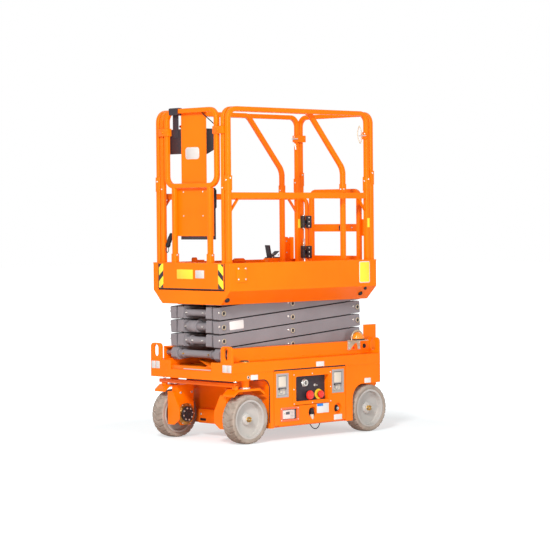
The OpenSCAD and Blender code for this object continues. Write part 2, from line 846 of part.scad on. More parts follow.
module tie_rod() {
    x = front_wheel_x + steer_arm;
    color(orange) difference() {
        union() {
            block([x - tie_w / 2, -wheel_y, tie_z], [x + tie_w / 2, wheel_y, tie_z + tie_t]);
            for (y = [-wheel_y, wheel_y])
                translate([x, y, tie_z]) cylinder(d = tie_w, h = tie_t);
        }
        for (y = [-wheel_y, wheel_y])
            translate([x, y, tie_z - 1]) cylinder(d = tie_pin_d + 2 * joint_fit, h = tie_t + 2);
    }
}

// Solid tyre with rounded shoulders
module tyre() {
    shoulder = 10;
    rotate([90, 0, 0]) rotate_extrude($fn = 96) difference() {
        union() {
            translate([rim_d / 2 + seat_gap, -tyre_w / 2]) square([(tyre_d - rim_d) / 2 - shoulder - seat_gap, tyre_w]);
            translate([rim_d / 2 + seat_gap, -tyre_w / 2 + shoulder])
                square([(tyre_d - rim_d) / 2 - seat_gap, tyre_w - 2 * shoulder]);
            for (y = [-1, 1])
                translate([tyre_d / 2 - shoulder, y * (tyre_w / 2 - shoulder)]) circle(shoulder);
        }
    }
}

rim_edge = tyre_w / 2 - 4;
rim_lip = 12;
rim_slope = 3;
disc_y = 8;                                      // half thickness of the rim's disc
hub_out = 18;
hub_in = 14;
hub_step = 6;

// Deep dished rim with a small hub, outer face toward +Y
module rim() {
    bore = spindle_d + 2 * joint_fit;
    seat = rim_d / 2;
    rotate([-90, 0, 0]) rotate_extrude($fn = 96) polygon([
        [bore / 2, -hub_in], [hub_d / 2 + hub_step, -hub_in], [hub_d / 2 + 2 * hub_step, -disc_y],
        [seat - rim_lip - rim_slope, -disc_y], [seat - rim_lip, -rim_edge], [seat, -rim_edge], [seat, rim_edge],
        [seat - rim_lip, rim_edge], [seat - rim_lip - rim_slope, disc_y], [hub_d / 2 + hub_step, disc_y],
        [hub_d / 2, hub_out], [bore / 2, hub_out]]);
}

module tyre_front_left() {
    color(tyre_grey) translate([front_wheel_x, wheel_y, wheel_z]) tyre();
}

module tyre_front_right() {
    color(tyre_grey) translate([front_wheel_x, -wheel_y, wheel_z]) tyre();
}

module tyre_rear_left() {
    color(tyre_grey) translate([rear_wheel_x, wheel_y, wheel_z]) tyre();
}

module tyre_rear_right() {
    color(tyre_grey) translate([rear_wheel_x, -wheel_y, wheel_z]) tyre();
}

module rim_front_left() {
    color(steel) translate([front_wheel_x, wheel_y, wheel_z]) rim();
}

module rim_front_right() {
    color(steel) mirror([0, 1, 0]) translate([front_wheel_x, wheel_y, wheel_z]) rim();
}

module rim_rear_left() {
    color(steel) translate([rear_wheel_x, wheel_y, wheel_z]) rim();
}

module rim_rear_right() {
    color(steel) mirror([0, 1, 0]) translate([rear_wheel_x, wheel_y, wheel_z]) rim();
}

// One arm along +X from its low pin at the origin, with cut corners
module arm(start_reach, end_reach, cut) {
    l = start_reach + arm_l + end_reach;
    translate([-start_reach, arm_w / 2, 0]) rotate([90, 0, 0]) linear_extrude(arm_w) polygon([
        [0, -arm_h / 2 + cut], [cut, -arm_h / 2], [l - arm_cut, -arm_h / 2], [l, -arm_h / 2 + arm_cut],
        [l, arm_h / 2 - arm_cut], [l - arm_cut, arm_h / 2], [cut, arm_h / 2], [0, arm_h / 2 - cut]]);
}

arm_cut = 5;
base_cut = 20;                                   // larger corners at the foot of the lowest outer arms
pin_head_d = 36;
pin_head_t = 5;
slide_clear = 1.5;

// Roller at the end of an axle on the left side, inside a channel of height h
module slide_roller(x, z, web_y, h) {
    rod_y(x, channel_in_y + 4, web_y - 3, z, h - 2 * channel_t - 2 * slide_clear);
}

// Pair of outer arms of one level, rising to the rear, with their through pins
module outer_arms(level) {
    z0 = pin_z(level - 1);
    z1 = pin_z(level);
    cx = (front_pin_x + rear_pin_x) / 2;
    cz = (z0 + z1) / 2;
    color(arm_grey) {
        both_sides() {
            translate([front_pin_x, arm_mid_outer, z0]) rotate([0, 180 + stow_angle, 0])
                arm(arm_tail, rear_tail, level == 1 ? base_cut : arm_cut);
            rod_y(cx, arm_inner_y + 2, arm_outer_face + pin_head_t, cz, pin_d);
            for (p = [[front_pin_x, z0], [cx, cz], [rear_pin_x, z1]])
                rod_y(p[0], arm_outer_face - 2 * lap, arm_outer_face + pin_head_t, p[1], pin_head_d);
            if (level == 4) {
                rod_y(rear_pin_x, arm_outer_face - 1, channel_in_y + 12, z1, pin_d);
                slide_roller(rear_pin_x, z1, deck_web_y, deck_channel_h);
            }
            if (level == 1)
                rod_y(front_pin_x, arm_outer_face - 1, channel_out_y - 1, z0, pin_d);
        }
        rod_y(front_pin_x, lap - arm_outer_face, arm_outer_face - lap, z0, level == 1 ? cross_d : pin_d);
        rod_y(rear_pin_x, lap - arm_outer_face, arm_outer_face - lap, z1, level == 4 ? cross_d : pin_d);
    }
}

module outer_arms_1() {
    outer_arms(1);
}

module outer_arms_2() {
    outer_arms(2);
}

module outer_arms_3() {
    outer_arms(3);
}

module outer_arms_4() {
    outer_arms(4);
}

ram_run = (1 - ram_share) * stow_run;
ram_rise = (1 + ram_share) * stack_pitch;
ram_angle = atan(ram_rise / ram_run);
ram_len = sqrt(ram_run * ram_run + ram_rise * ram_rise);
ram_pin_x = front_pin_x - ram_run;
ram_pin_z = pin_z(2) + ram_rise;

// Cross tube between the inner arms
module cross_tube(x, z) {
    rod_y(x, -arm_inner_y - 1, arm_inner_y + 1, z, cross_d);
}

// Bore through both inner arms
module arm_bore(x, z) {
    rod_y(x, -arm_outer_face, arm_outer_face, z, pin_d + 2 * joint_fit);
}

// Pair of inner arms of one level, rising to the front, with their cross tubes
module inner_arms(level) {
    z0 = pin_z(level - 1);
    z1 = pin_z(level);
    color(arm_grey) difference() {
        union() {
            both_sides()
                translate([rear_pin_x, arm_mid_inner, z0]) rotate([0, -stow_angle, 0])
                    arm(rear_tail, arm_tail, arm_cut);
            if (level == 1) {
                rod_y(rear_pin_x, -channel_in_y - 12, channel_in_y + 12, z0, pin_d);
                both_sides() slide_roller(rear_pin_x, z0, channel_out_y - channel_t, channel_h);
            } else {
                cross_tube(rear_pin_x, z0);
            }
            if (level == 4) {
                rod_y(front_pin_x, -deck_lug_y - deck_lug_t, deck_lug_y + deck_lug_t, z1, pin_d);
                rod_y(ram_pin_x, ram_y + eye_w / 2 + 1, arm_inner_y + 1, ram_pin_z, pin_d);
                rod_y(ram_pin_x, -arm_inner_y - 1, ram_y - eye_w / 2 - 1, ram_pin_z, pin_d);
            } else {
                cross_tube(front_pin_x, z1);
            }
        }
        arm_bore((front_pin_x + rear_pin_x) / 2, (z0 + z1) / 2);
        if (level > 1)
            arm_bore(rear_pin_x, z0);
        if (level < 4)
            arm_bore(front_pin_x, z1);
    }
}

module inner_arms_1() {
    inner_arms(1);
}

module inner_arms_2() {
    inner_arms(2);
}

module inner_arms_3() {
    inner_arms(3);
}

module inner_arms_4() {
    inner_arms(4);
}

barrel_l = 800;
ram_in = 400;

// Places a shape drawn along +X from the barrel eye onto the cylinder's axis
module ram_axis() {
    translate([front_pin_x, ram_y, pin_z(2)]) rotate([0, 180 + ram_angle, 0]) children();
}

module lift_barrel() {
    color(dark) ram_axis() difference() {
        union() {
            rod_y(0, -eye_w / 2, eye_w / 2, 0, eye_d);
            translate([20, 0, 0]) rotate([0, 90, 0]) cylinder(d = eye_w - 6, h = 40);
            translate([50, 0, 0]) rotate([0, 90, 0]) cylinder(d = barrel_d, h = barrel_l - 50);
        }
        rod_y(0, -eye_w, eye_w, 0, cross_d + 2 * joint_fit);
        translate([ram_in - 20, 0, 0]) rotate([0, 90, 0]) cylinder(d = ram_d + 2 * joint_fit, h = barrel_l);
    }
}

module lift_rod() {
    color(steel) ram_axis() {
        translate([ram_in, 0, 0]) rotate([0, 90, 0]) cylinder(d = ram_d, h = ram_len - ram_in - 10);
        rod_y(ram_len, -eye_w / 2, eye_w / 2, 0, eye_d - 8);
    }
}

// Cross section of the platform shell in the YZ plane, inset by the sheet's thickness for its hollow
module deck_section(inset) {
    half = deck_half - inset;
    knee = side_z + inset * tan(22.5);
    foot_z = inset > 0 ? skirt_z - lap : skirt_z;
    foot = deck_half - inset * sqrt(2) - (side_z - foot_z);
    polygon([[-half, toe_z], [-half, knee], [-foot, foot_z], [foot, foot_z], [half, knee], [half, toe_z]]);
}

module along_deck(x0, x1) {
    translate([x0, 0, 0]) rotate([90, 0, 90]) linear_extrude(x1 - x0) children();
}

deck_channel_z = pin_z(4) - deck_channel_h / 2;
deck_channel_front_x = at_s(520);
panel_gap = 4;

// Lug under the floor that carries the front pin of the top inner arms
module deck_lug() {
    difference() {
        block([front_pin_x - 35, deck_lug_y, pin_z(4) - 24],
            [front_pin_x + 35, deck_lug_y + deck_lug_t, floor_z - sheet_t + eps]);
        rod_y(front_pin_x, deck_lug_y - 1, deck_lug_y + deck_lug_t + 1, pin_z(4), pin_d + 2 * joint_fit);
    }
}

// Channel under the floor for the rear rollers of the top outer arms
module deck_channel() {
    difference() {
        block([deck_x0 + sheet_t - eps, channel_in_y, deck_channel_z],
            [deck_channel_front_x, deck_web_y + channel_t, floor_z - sheet_t + eps]);
        block([deck_x0, channel_in_y - 1, deck_channel_z + channel_t],
            [deck_channel_front_x + 1, deck_web_y, deck_channel_z + deck_channel_h - channel_t]);
    }
}

// Main platform: folded shell with toe boards, floor, arm lugs and slide channels
module platform_deck() {
    color(orange) {
        difference() {
            along_deck(deck_x0, deck_x1) deck_section(0);
            along_deck(deck_x0 + sheet_t, deck_x1 - sheet_t) deck_section(sheet_t);
            block([deck_x0 - 1, -deck_half + sheet_t, floor_z], [deck_x1 - sheet_t, deck_half - sheet_t, toe_z + 1]);
            block([deck_x1 - sheet_t - 1, -panel_half - panel_gap, side_z], [deck_x1 + 1, panel_half + panel_gap, toe_z + 1]);
        }
        block([deck_x0 + eps, -deck_half + eps, floor_z - sheet_t], [deck_x1 - sheet_t - panel_gap, deck_half - eps, floor_z]);
        both_sides() {
            deck_lug();
            deck_channel();
        }
        pedal_box();
        cable_plate();
    }
}

pedal_s = 960;
pedal_box_l = 150;
pedal_box_w = 46;
pedal_box_h = 34;
pedal_slope = 16;
cable_plate_s = 1126;
cable_plate_w = 84;
cable_plate_z = 1265;
cable_plate_r = 26;

// Shape drawn in the XZ plane inside the right toe board
module on_right_toe(depth) {
    translate([0, -deck_half + sheet_t + depth, 0]) rotate([90, 0, 0]) linear_extrude(depth + lap) children();
}

// Box with sloped ends on the right toe board that carries the foot pedal
module pedal_box() {
    x0 = at_s(pedal_s + pedal_box_l);
    x1 = at_s(pedal_s);
    z1 = toe_z + 8;
    on_right_toe(pedal_box_w) polygon([[x0, z1 - pedal_box_h], [x1, z1 - pedal_box_h], [x1 - pedal_slope, z1], [x0 + pedal_slope, z1]]);
}

// Upright plate with a rounded corner behind the foot pedal
module cable_plate() {
    x0 = at_s(cable_plate_s + cable_plate_w);
    z0 = toe_z - pedal_box_h;
    on_right_toe(sheet_t) {
        translate([x0, z0]) square([cable_plate_w, cable_plate_z - cable_plate_r - z0]);
        translate([x0 + cable_plate_r, z0]) square([cable_plate_w - cable_plate_r, cable_plate_z - z0]);
        translate([x0 + cable_plate_r, cable_plate_z - cable_plate_r]) circle(cable_plate_r);
    }
}

post_y = rail_y - tube_d / 2;
post_front_x = rail_front_x - tube_d / 2;
post_rear_x = side_rear_x + tube_d / 2;
rear_rail_x = rear_frame_x - tube_d / 2;
rear_post_y = rail_y - tube_d / 2 + 3;
mid_top_z = mid_z + mid_h / 2;

// Lower post that ends in a socket for a rail foot; side -1 or 1 leaves the wall on that end of X off
module socket_post(x, y, foot_z, top_z, side) {
    reach = tube_d / 2 + socket_fit;
    upright(x, y, foot_z, top_z - rail_grip + lap, post_d);
    difference() {
        upright(x, y, top_z - rail_grip, top_z, tube_d + 2 * socket_t);
        upright(x, y, top_z - rail_grip + socket_floor, top_z + lap, tube_d + 2 * socket_fit);
        if (side != 0)
            translate([x + side * (reach + tube_d / 2), y, top_z - rail_grip / 2 + socket_floor])
                cube([tube_d, 2 * tube_d, rail_grip], center = true);
    }
}

brace_run = 62;
brace_drop = 76;
brace_w = 20;
brace_t = 8;
keeper_t = 5;
keeper_h = 110;
keeper_z = 1270;
keeper_reach = 106;

// Flat bar between a post and the mid rail; side 1 lies ahead of the post
module brace(x, side) {
    translate([x + side * (post_d + brace_run) / 2, post_y, mid_z - (mid_h + brace_drop) / 2])
        rotate([0, -side * atan(brace_drop / brace_run), 0])
            cube([sqrt(brace_run * brace_run + brace_drop * brace_drop) + 6 * lap, brace_w, brace_t], center = true);
}

// Bent plate on the left rear post that stops the gate
module gate_keeper() {
    x0 = rear_rail_x - tube_d / 2 - keeper_t - lap / 2;
    y1 = rear_post_y - post_d / 2 + lap;
    block([x0, y1 - keeper_reach, keeper_z], [x0 + keeper_t, y1, keeper_z + keeper_h]);
    block([x0, y1 - keeper_t - lap, keeper_z], [rear_rail_x, y1, keeper_z + keeper_h]);
}

// Fixed lower guard rail: side posts, mid rails, braces, rear posts and the gate's keeper
module lower_rails() {
    color(orange) gate_keeper();
    color(orange) both_sides() {
        brace(post_front_x, -1);
        brace(post_rear_x, 1);
        socket_post(post_front_x, post_y, floor_z + seat_gap, socket_z, 0);
        socket_post(post_rear_x, post_y, floor_z + seat_gap, socket_z, -1);
        socket_post(rear_rail_x, rear_post_y, floor_z + seat_gap, rear_socket_z, 1);
        block([post_rear_x, post_y - mid_t / 2, mid_z - mid_h / 2], [post_front_x, post_y + mid_t / 2, mid_top_z]);
    }
}

// Bent side rail standing in two sockets
module side_rail() {
    r = bend_r - tube_d / 2;
    x1 = post_front_x;
    x0 = post_rear_x;
    y = post_y;
    z = rail_z - tube_d / 2;
    upright(x1, y, socket_z - rail_grip + socket_floor + seat_gap, z - r, tube_d);
    upright(x0, y, socket_z - rail_grip + socket_floor + seat_gap, z - r, tube_d);
    tube_x(x0 + r, x1 - r, y, z, tube_d);
    translate([x1 - r, y, z - r]) rotate([90, 0, 0]) tube_arc(r, 90, tube_d);
    translate([x0 + r, y, z - r]) rotate([90, -90, 0]) tube_arc(r, 90, tube_d);
}

module side_rail_left() {
    color(orange) side_rail();
}

module side_rail_right() {
    color(orange) mirror([0, 1, 0]) side_rail();
}

module rear_rail() {
    r = bend_r - tube_d / 2;
    z = rail_z - tube_d / 2;
    color(orange) {
        both_sides() {
            upright(rear_rail_x, rear_post_y, rear_socket_z - rail_grip + socket_floor + seat_gap, z - r, tube_d);
            translate([rear_rail_x, rear_post_y - r, z - r]) rotate([90, 0, 90]) tube_arc(r, 90, tube_d);
        }
        tube_y(rear_rail_x, -rear_post_y + r, rear_post_y - r, z, tube_d);
    }
}

gate_foot_z = 1030;
hinge_h = 82;
hinge_zs = [1365, 1163];
hinge_pin_d = 10;
hinge_barrel_d = 20;
hinge_leaf_t = 6;
gate_hinge_y = -(gate_w / 2 + (rear_post_y - post_d / 2 - gate_w / 2) / 2);
hinge_offset = 25;                               // hinge axis ahead of the gate's centre plane
gate_hinge_x = rear_rail_x + hinge_offset;
hinge_web_x = gate_hinge_x - hinge_barrel_d / 2;
hinge_post_y = -rear_post_y + post_d / 2 + seat_gap;

// Self-closing gate of bent tube with a flat mid bar, a kick plate and its hinge leaves
module gate_frame() {
    r = 45;
    z = gate_z - tube_d / 2;
    y = gate_w / 2 - tube_d / 2;
    color(orange) {
        both_sides() {
            upright(rear_rail_x, y, gate_foot_z, z - r, tube_d);
            translate([rear_rail_x, y - r, z - r]) rotate([90, 0, 90]) tube_arc(r, 90, tube_d);
        }
        tube_y(rear_rail_x, -y + r, y - r, z, tube_d);
        block([rear_rail_x - 4, -y, gate_bar_z - gate_bar_h / 2], [rear_rail_x + 4, y, gate_bar_z + gate_bar_h / 2]);
        block([rear_rail_x - 4, -y, gate_foot_z], [rear_rail_x + 4, y, gate_foot_z + 110]);
        for (z = hinge_zs)
            difference() {
                union() {
                    block([hinge_web_x - 3, gate_hinge_y, z - hinge_h / 6 + 0.5],
                        [hinge_web_x + hinge_leaf_t, -gate_w / 2 + tube_d / 2, z + hinge_h / 6 - 0.5]);
                    translate([gate_hinge_x, gate_hinge_y, z - hinge_h / 6 + 0.5])
                        cylinder(d = hinge_barrel_d, h = hinge_h / 3 - 1);
                }
                translate([gate_hinge_x, gate_hinge_y, z - hinge_h]) cylinder(d = hinge_pin_d + 2 * joint_fit, h = 2 * hinge_h);
            }
    }
}

// Fixed hinge halves on the right rear post, each with its pin
module gate_hinges() {
    color(dark)
        for (z = hinge_zs) {
            translate([gate_hinge_x, gate_hinge_y, z - hinge_h / 2]) cylinder(d = hinge_pin_d, h = hinge_h);
            for (i = [-1, 1]) {
                zc = z + i * hinge_h / 3;
                translate([gate_hinge_x, gate_hinge_y, zc - hinge_h / 6]) cylinder(d = hinge_barrel_d, h = hinge_h / 3);
                block([hinge_web_x - 3, hinge_post_y + hinge_leaf_t / 2, zc - hinge_h / 6],
                    [hinge_web_x + hinge_leaf_t, gate_hinge_y, zc + hinge_h / 6]);
                block([rear_rail_x - post_d / 2, hinge_post_y, zc - hinge_h / 6],
                    [hinge_web_x, hinge_post_y + hinge_leaf_t, zc + hinge_h / 6]);
            }
        }
}

panel_z = side_z + panel_gap;
stand_y = stand_w / 2 - tube_d / 2;
flange_d = 44;
flange_y = ext_rail_y - tube_d - 2 * seat_gap;     // the top flange ends at the posts

// Roll-out deck: floor, front toe board with a top flange and the sockets of the front stand
module extension_deck() {
    color(orange) {
        block([deck_x1 - ext_l, -ext_half_w, ext_floor_z], [deck_x1 - eps, ext_half_w, ext_floor_z + ext_floor_t]);
        block([deck_x1 - sheet_t, -panel_half, panel_z], [deck_x1, panel_half, toe_z]);
        block([deck_x1 - flange_d, -flange_y, toe_z - sheet_t], [deck_x1, flange_y, toe_z]);
        both_sides()
            difference() {
                upright(loop_x, stand_y, toe_z - eps, toe_z + stand_socket_h, tube_d + 2 * socket_t);
                upright(loop_x, stand_y, toe_z, toe_z + stand_socket_h + 1, tube_d + 2 * socket_fit);
            }
    }
}

foot_bend_r = 100;
bend_swell = 0.6;                                // the roll-out rails' bends are this much thicker than their tube
sleeve_t = 3;
sleeve_z = 1608;
sleeve_h = 90;

// Side rail of the roll-out deck with its slanted rear part
module ext_side_rail() {
    y = ext_rail_y - tube_d / 2;
    z = rail_z - tube_d / 2;
    r = bend_r - tube_d / 2;
    slope = atan2(z - slope_z, slope_run);
    slope_l = sqrt(pow(z - slope_z, 2) + pow(slope_run, 2));
    top_cut = r * tan(slope / 2);
    foot_cut = foot_bend_r * tan((90 - slope) / 2);
    x1 = post_front_x;
    x0 = at_s(ext_post_s);
    foot_z = ext_floor_z + ext_floor_t + seat_gap;
    upright(x1, y, foot_z, z - r + lap, tube_d);
    translate([x1 - r, y, z - r]) rotate([90, 0, 0]) tube_arc(r, 90, tube_d + bend_swell);
    tube_x(at_s(slope_s) + top_cut - lap, x1 - r + lap, y, z, tube_d);
    translate([at_s(slope_s) + top_cut, y, z - r]) rotate([90, -90, 0]) tube_arc(r, slope, tube_d + bend_swell);
    translate([at_s(slope_s), y, z]) rotate([0, -slope, 0]) translate([foot_cut - slope_l - lap, 0, 0]) rotate([90, 0, 90])
        linear_extrude(slope_l - top_cut - foot_cut + 2 * lap) section(tube_d, tube_d);
    translate([x0 + foot_bend_r, y, slope_z - foot_cut]) rotate([90, -90 - slope, 0])
        tube_arc(foot_bend_r, 90 - slope, tube_d + bend_swell);
    upright(x0, y, foot_z, slope_z - foot_cut + lap, tube_d);
    upright(x0, y, sleeve_z - sleeve_h, sleeve_z, tube_d + 2 * sleeve_t);
}

module extension_rails() {
    color(orange) both_sides() ext_side_rail();
}

// Closed front loop on two lower posts
module front_loop() {
    r = bend_r - tube_d / 2;
    y = loop_w / 2 - tube_d / 2;
    z1 = rail_z - tube_d / 2;
    z0 = loop_z + tube_d / 2;
    color(orange) {
        both_sides() {
            upright(loop_x, y, z0 + r, z1 - r, tube_d);
            translate([loop_x, y - r, z1 - r]) rotate([90, 0, 90]) tube_arc(r, 90, tube_d);
            translate([loop_x, y - r, z0 + r]) rotate([90, 0, 90]) tube_arc(r, -90, tube_d);
            upright(loop_x, stand_y, toe_z + seat_gap, z0, tube_d);
        }
        tube_y(loop_x, -y + r, y - r, z1, tube_d);
        tube_y(loop_x, -y + r, y - r, z0, tube_d);
    }
}

loop_plate_t = 4;

module loop_plates() {
    x = loop_x - tube_d / 2 - seat_gap;
    color(orange) {
        block([x - loop_plate_t, -plate_w / 2, loop_z + 4], [x, plate_w / 2, rail_z - 8]);
        block([x - loop_plate_t, -stand_w / 2, loop_z - 300], [x, stand_w / 2, loop_z]);
    }
}

control_y = -100;
control_z = 1800;
control_rise = 80;                               // rise of the box's foot toward its rear
box_x1 = loop_x - tube_d / 2 - loop_plate_t - 2 * seat_gap;
strap_w = 50;
strap_t = 3;
strap_y = -195;
strap_lip = 25;

// Upper control box, hung over the loop's top tube by a strap
module control_box() {
    x0 = box_x1 - control_d;
    z1 = control_z + control_h;
    back = loop_x - tube_d / 2 - seat_gap;
    front = loop_x + tube_d / 2 + seat_gap;
    top = rail_z + seat_gap;
    color(dark) {
        translate([0, control_y + control_w / 2, 0]) rotate([90, 0, 0]) linear_extrude(control_w)
            polygon([[box_x1, control_z], [box_x1, z1], [x0, z1], [x0, control_z + control_rise]]);
        block([box_x1 - lap, strap_y, z1 - strap_w], [back, strap_y + strap_w, top + strap_t]);
        block([box_x1 - lap, strap_y, top], [front + strap_t, strap_y + strap_w, top + strap_t]);
        block([front, strap_y, rail_z - strap_lip], [front + strap_t, strap_y + strap_w, top + strap_t]);
    }
}

document_wall = 4;
document_z = loop_z - document_h - 1;

module document_box() {
    w = document_w / 2;
    color(dark) difference() {
        block([box_x1 - document_d, -w, document_z], [box_x1, w, document_z + document_h]);
        block([box_x1 - document_d + document_wall, -w + document_wall, document_z + document_wall],
            [box_x1 - document_wall, w - document_wall, document_z + document_h + lap]);
    }
}

pedal_base_t = 6;
pedal_l = 110;
pedal_w = 40;
pedal_h = 80;
pedal_t = 12;

// Foot pedal: a base plate with two raised flaps
module foot_pedal() {
    x0 = at_s(pedal_s + (pedal_box_l + pedal_l) / 2);
    x1 = x0 + pedal_l;
    z0 = toe_z + 8 + seat_gap;
    z1 = z0 + pedal_base_t;
    color(dark) translate([0, -deck_half + sheet_t + lap + pedal_w, 0]) rotate([90, 0, 0]) linear_extrude(pedal_w) {
        translate([x0, z0]) square([pedal_l, pedal_base_t]);
        polygon([[x1 - 30, z1 - 1], [x1 - 30 + pedal_t, z1 - 1], [x1, z1 + pedal_h], [x1 - pedal_t, z1 + pedal_h]]);
        polygon([[x1 - 44, z1 - 1], [x1 - 44 + pedal_t, z1 - 1], [x0 + 20, z1 + pedal_h / 2], [x0 + 8, z1 + pedal_h / 2]]);
    }
}

chassis_frame();
scissor_channels();
lifting_lugs();
ladder();
rear_axle();
battery_pack();
hydraulic_unit();
beacon();
beacon_guard();
door_left();
door_left_latches();
ground_controls();
door_right();
door_right_latches();
knuckle_left();
knuckle_right();
drive_motor_left();
drive_motor_right();
tie_rod();
tyre_front_left();
tyre_front_right();
tyre_rear_left();
tyre_rear_right();
rim_front_left();
rim_front_right();
rim_rear_left();
rim_rear_right();
outer_arms_1();
outer_arms_2();
outer_arms_3();
outer_arms_4();
inner_arms_1();
inner_arms_2();
inner_arms_3();
inner_arms_4();
lift_barrel();
lift_rod();
platform_deck();
lower_rails();
side_rail_left();
side_rail_right();
rear_rail();
gate_frame();
gate_hinges();
extension_deck();
extension_rails();
front_loop();
loop_plates();
control_box();
document_box();
foot_pedal();
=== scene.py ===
import math
import bpy
import bmesh
from mathutils import Matrix, Vector


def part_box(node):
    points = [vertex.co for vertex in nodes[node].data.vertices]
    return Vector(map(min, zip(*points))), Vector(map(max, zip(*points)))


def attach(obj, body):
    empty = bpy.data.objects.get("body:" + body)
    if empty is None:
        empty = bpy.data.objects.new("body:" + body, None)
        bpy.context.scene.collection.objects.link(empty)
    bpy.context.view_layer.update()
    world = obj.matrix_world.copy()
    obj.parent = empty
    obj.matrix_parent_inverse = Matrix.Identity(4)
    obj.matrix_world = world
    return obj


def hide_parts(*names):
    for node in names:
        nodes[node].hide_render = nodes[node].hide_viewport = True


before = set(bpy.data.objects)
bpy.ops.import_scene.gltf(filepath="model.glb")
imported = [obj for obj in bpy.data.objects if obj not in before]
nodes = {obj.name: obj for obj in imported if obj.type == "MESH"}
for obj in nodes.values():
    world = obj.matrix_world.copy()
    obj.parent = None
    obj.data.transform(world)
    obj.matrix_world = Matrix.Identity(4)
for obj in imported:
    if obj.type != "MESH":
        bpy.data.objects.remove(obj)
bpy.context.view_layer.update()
scene = bpy.context.scene
scene.view_settings.view_transform = "Standard"
print("frame loaded:", len(nodes), "nodes")


# camera at the photo's angle
cameraSet = {"place": (9.489, 9.913, 1.391), "turn": 226.19, "tilt": -1.530, "lean": -0.493, "lens": 139.2}


def makeCamera(look):
    turn, tilt, lean = (math.radians(look[k]) for k in ("turn", "tilt", "lean"))
    ahead = Vector((math.cos(turn) * math.cos(tilt), math.sin(turn) * math.cos(tilt), math.sin(tilt)))
    right = Vector((math.sin(turn), -math.cos(turn), 0))
    up = right.cross(ahead)
    side = right * math.cos(lean) + up * math.sin(lean)
    top = up * math.cos(lean) - right * math.sin(lean)
    data = bpy.data.cameras.new("camera")
    data.lens = look["lens"]
    data.sensor_width = 36
    data.clip_end = 200
    cam = bpy.data.objects.new("camera", data)
    scene.collection.objects.link(cam)
    basis = Matrix((side, top, -ahead)).transposed().to_4x4()
    cam.matrix_world = Matrix.Translation(look["place"]) @ basis
    scene.camera = cam


makeCamera(cameraSet)


# colours are written as on a screen, 0 to 255
def screen(r, g, b):
    def one(c):
        c = c / 255
        return c / 12.92 if c <= 0.04045 else ((c + 0.055) / 1.055) ** 2.4
    return (one(r), one(g), one(b), 1)


def newMaterial(name):
    mat = bpy.data.materials.new(name)
    mat.use_nodes = True
    return mat, mat.node_tree, mat.node_tree.nodes["Principled BSDF"]


def objectSpot(tree):
    return tree.nodes.new("ShaderNodeTexCoord").outputs["Object"]


def splitSpot(tree):
    node = tree.nodes.new("ShaderNodeSeparateXYZ")
    tree.links.new(objectSpot(tree), node.inputs["Vector"])
    return node.outputs


# a socket takes a plain value or another node's output
def feed(tree, sock, given):
    if isinstance(given, (int, float, tuple)):
        sock.default_value = given
    else:
        tree.links.new(given, sock)


def mathNode(tree, operation, *values):
    node = tree.nodes.new("ShaderNodeMath")
    node.operation = operation
    for sock, given in zip(node.inputs, values):
        feed(tree, sock, given)
    return node.outputs["Value"]


def mapRange(tree, *values):
    node = tree.nodes.new("ShaderNodeMapRange")
    for name, given in zip(("Value", "From Min", "From Max", "To Min", "To Max"), values):
        feed(tree, node.inputs[name], given)
    return node.outputs["Result"]


def noise(tree, size, detail=3.0, stretch=None):
    tex = tree.nodes.new("ShaderNodeTexNoise")
    tex.inputs["Scale"].default_value = size
    tex.inputs["Detail"].default_value = detail
    place = objectSpot(tree)
    if stretch:
        mapping = tree.nodes.new("ShaderNodeMapping")
        mapping.inputs["Scale"].default_value = stretch
        tree.links.new(place, mapping.inputs["Vector"])
        place = mapping.outputs["Vector"]
    tree.links.new(place, tex.inputs["Vector"])
    return tex.outputs["Fac"]


def ramp(tree, value, stops):
    node = tree.nodes.new("ShaderNodeValToRGB")
    node.color_ramp.elements[0].position = stops[0][0]
    node.color_ramp.elements[0].color = stops[0][1]
    node.color_ramp.elements[1].position = stops[-1][0]
    node.color_ramp.elements[1].color = stops[-1][1]
    for place, color in stops[1:-1]:
        node.color_ramp.elements.new(place).color = color
    tree.links.new(value, node.inputs["Fac"])
    return node.outputs["Color"]


def spread(tree, value, low, high):
    return mapRange(tree, value, 0.3, 0.7, low, high)


def mixColor(tree, share, first, second):
    node = tree.nodes.new("ShaderNodeMix")
    node.data_type = "RGBA"
    for name, given in (("Factor", share), ("A", first), ("B", second)):
        feed(tree, node.inputs[name], given)
    return node.outputs["Result"]


def lowDust(tree, top, share):
    height = mapRange(tree, splitSpot(tree)["Z"], 0.0, top, share, 0.0)
    return mathNode(tree, "MULTIPLY", height, noise(tree, 14, 6))


def bump(tree, shader, height, strength, distance):
    node = tree.nodes.new("ShaderNodeBump")
    node.inputs["Strength"].default_value = strength
    node.inputs["Distance"].default_value = distance
    tree.links.new(height, node.inputs["Height"])
    tree.links.new(node.outputs["Normal"], shader.inputs["Normal"])


def finish(name, look):
    mat, tree, shader = newMaterial(name)
    base, tone = (screen(*look.get(key, look["color"])) for key in ("color", "tone"))
    color = ramp(tree, noise(tree, look.get("patch", 5.0), 4, look.get("stretch")), [(0.35, base), (0.68, tone)])
    if "dust" in look:
        share = lowDust(tree, look.get("dustTop", 0.35), look.get("dustShare", 0.55))
        color = mixColor(tree, share, color, screen(*look["dust"]))
    tree.links.new(color, shader.inputs["Base Color"])
    low, high = look["rough"]
    grain = noise(tree, look.get("grain", 60), 5, look.get("stretch"))
    tree.links.new(spread(tree, grain, low, high), shader.inputs["Roughness"])
    shader.inputs["Metallic"].default_value = look.get("metal", 0.0)
    shader.inputs["Coat Weight"].default_value = look.get("coat", 0.0)
    shader.inputs["Coat Roughness"].default_value = 0.12
    shader.inputs["Specular IOR Level"].default_value = look.get("gloss", 0.5)
    if "bump" in look:
        size, strength, distance = look["bump"]
        bump(tree, shader, noise(tree, size, 4, look.get("stretch")), strength, distance)
    return mat


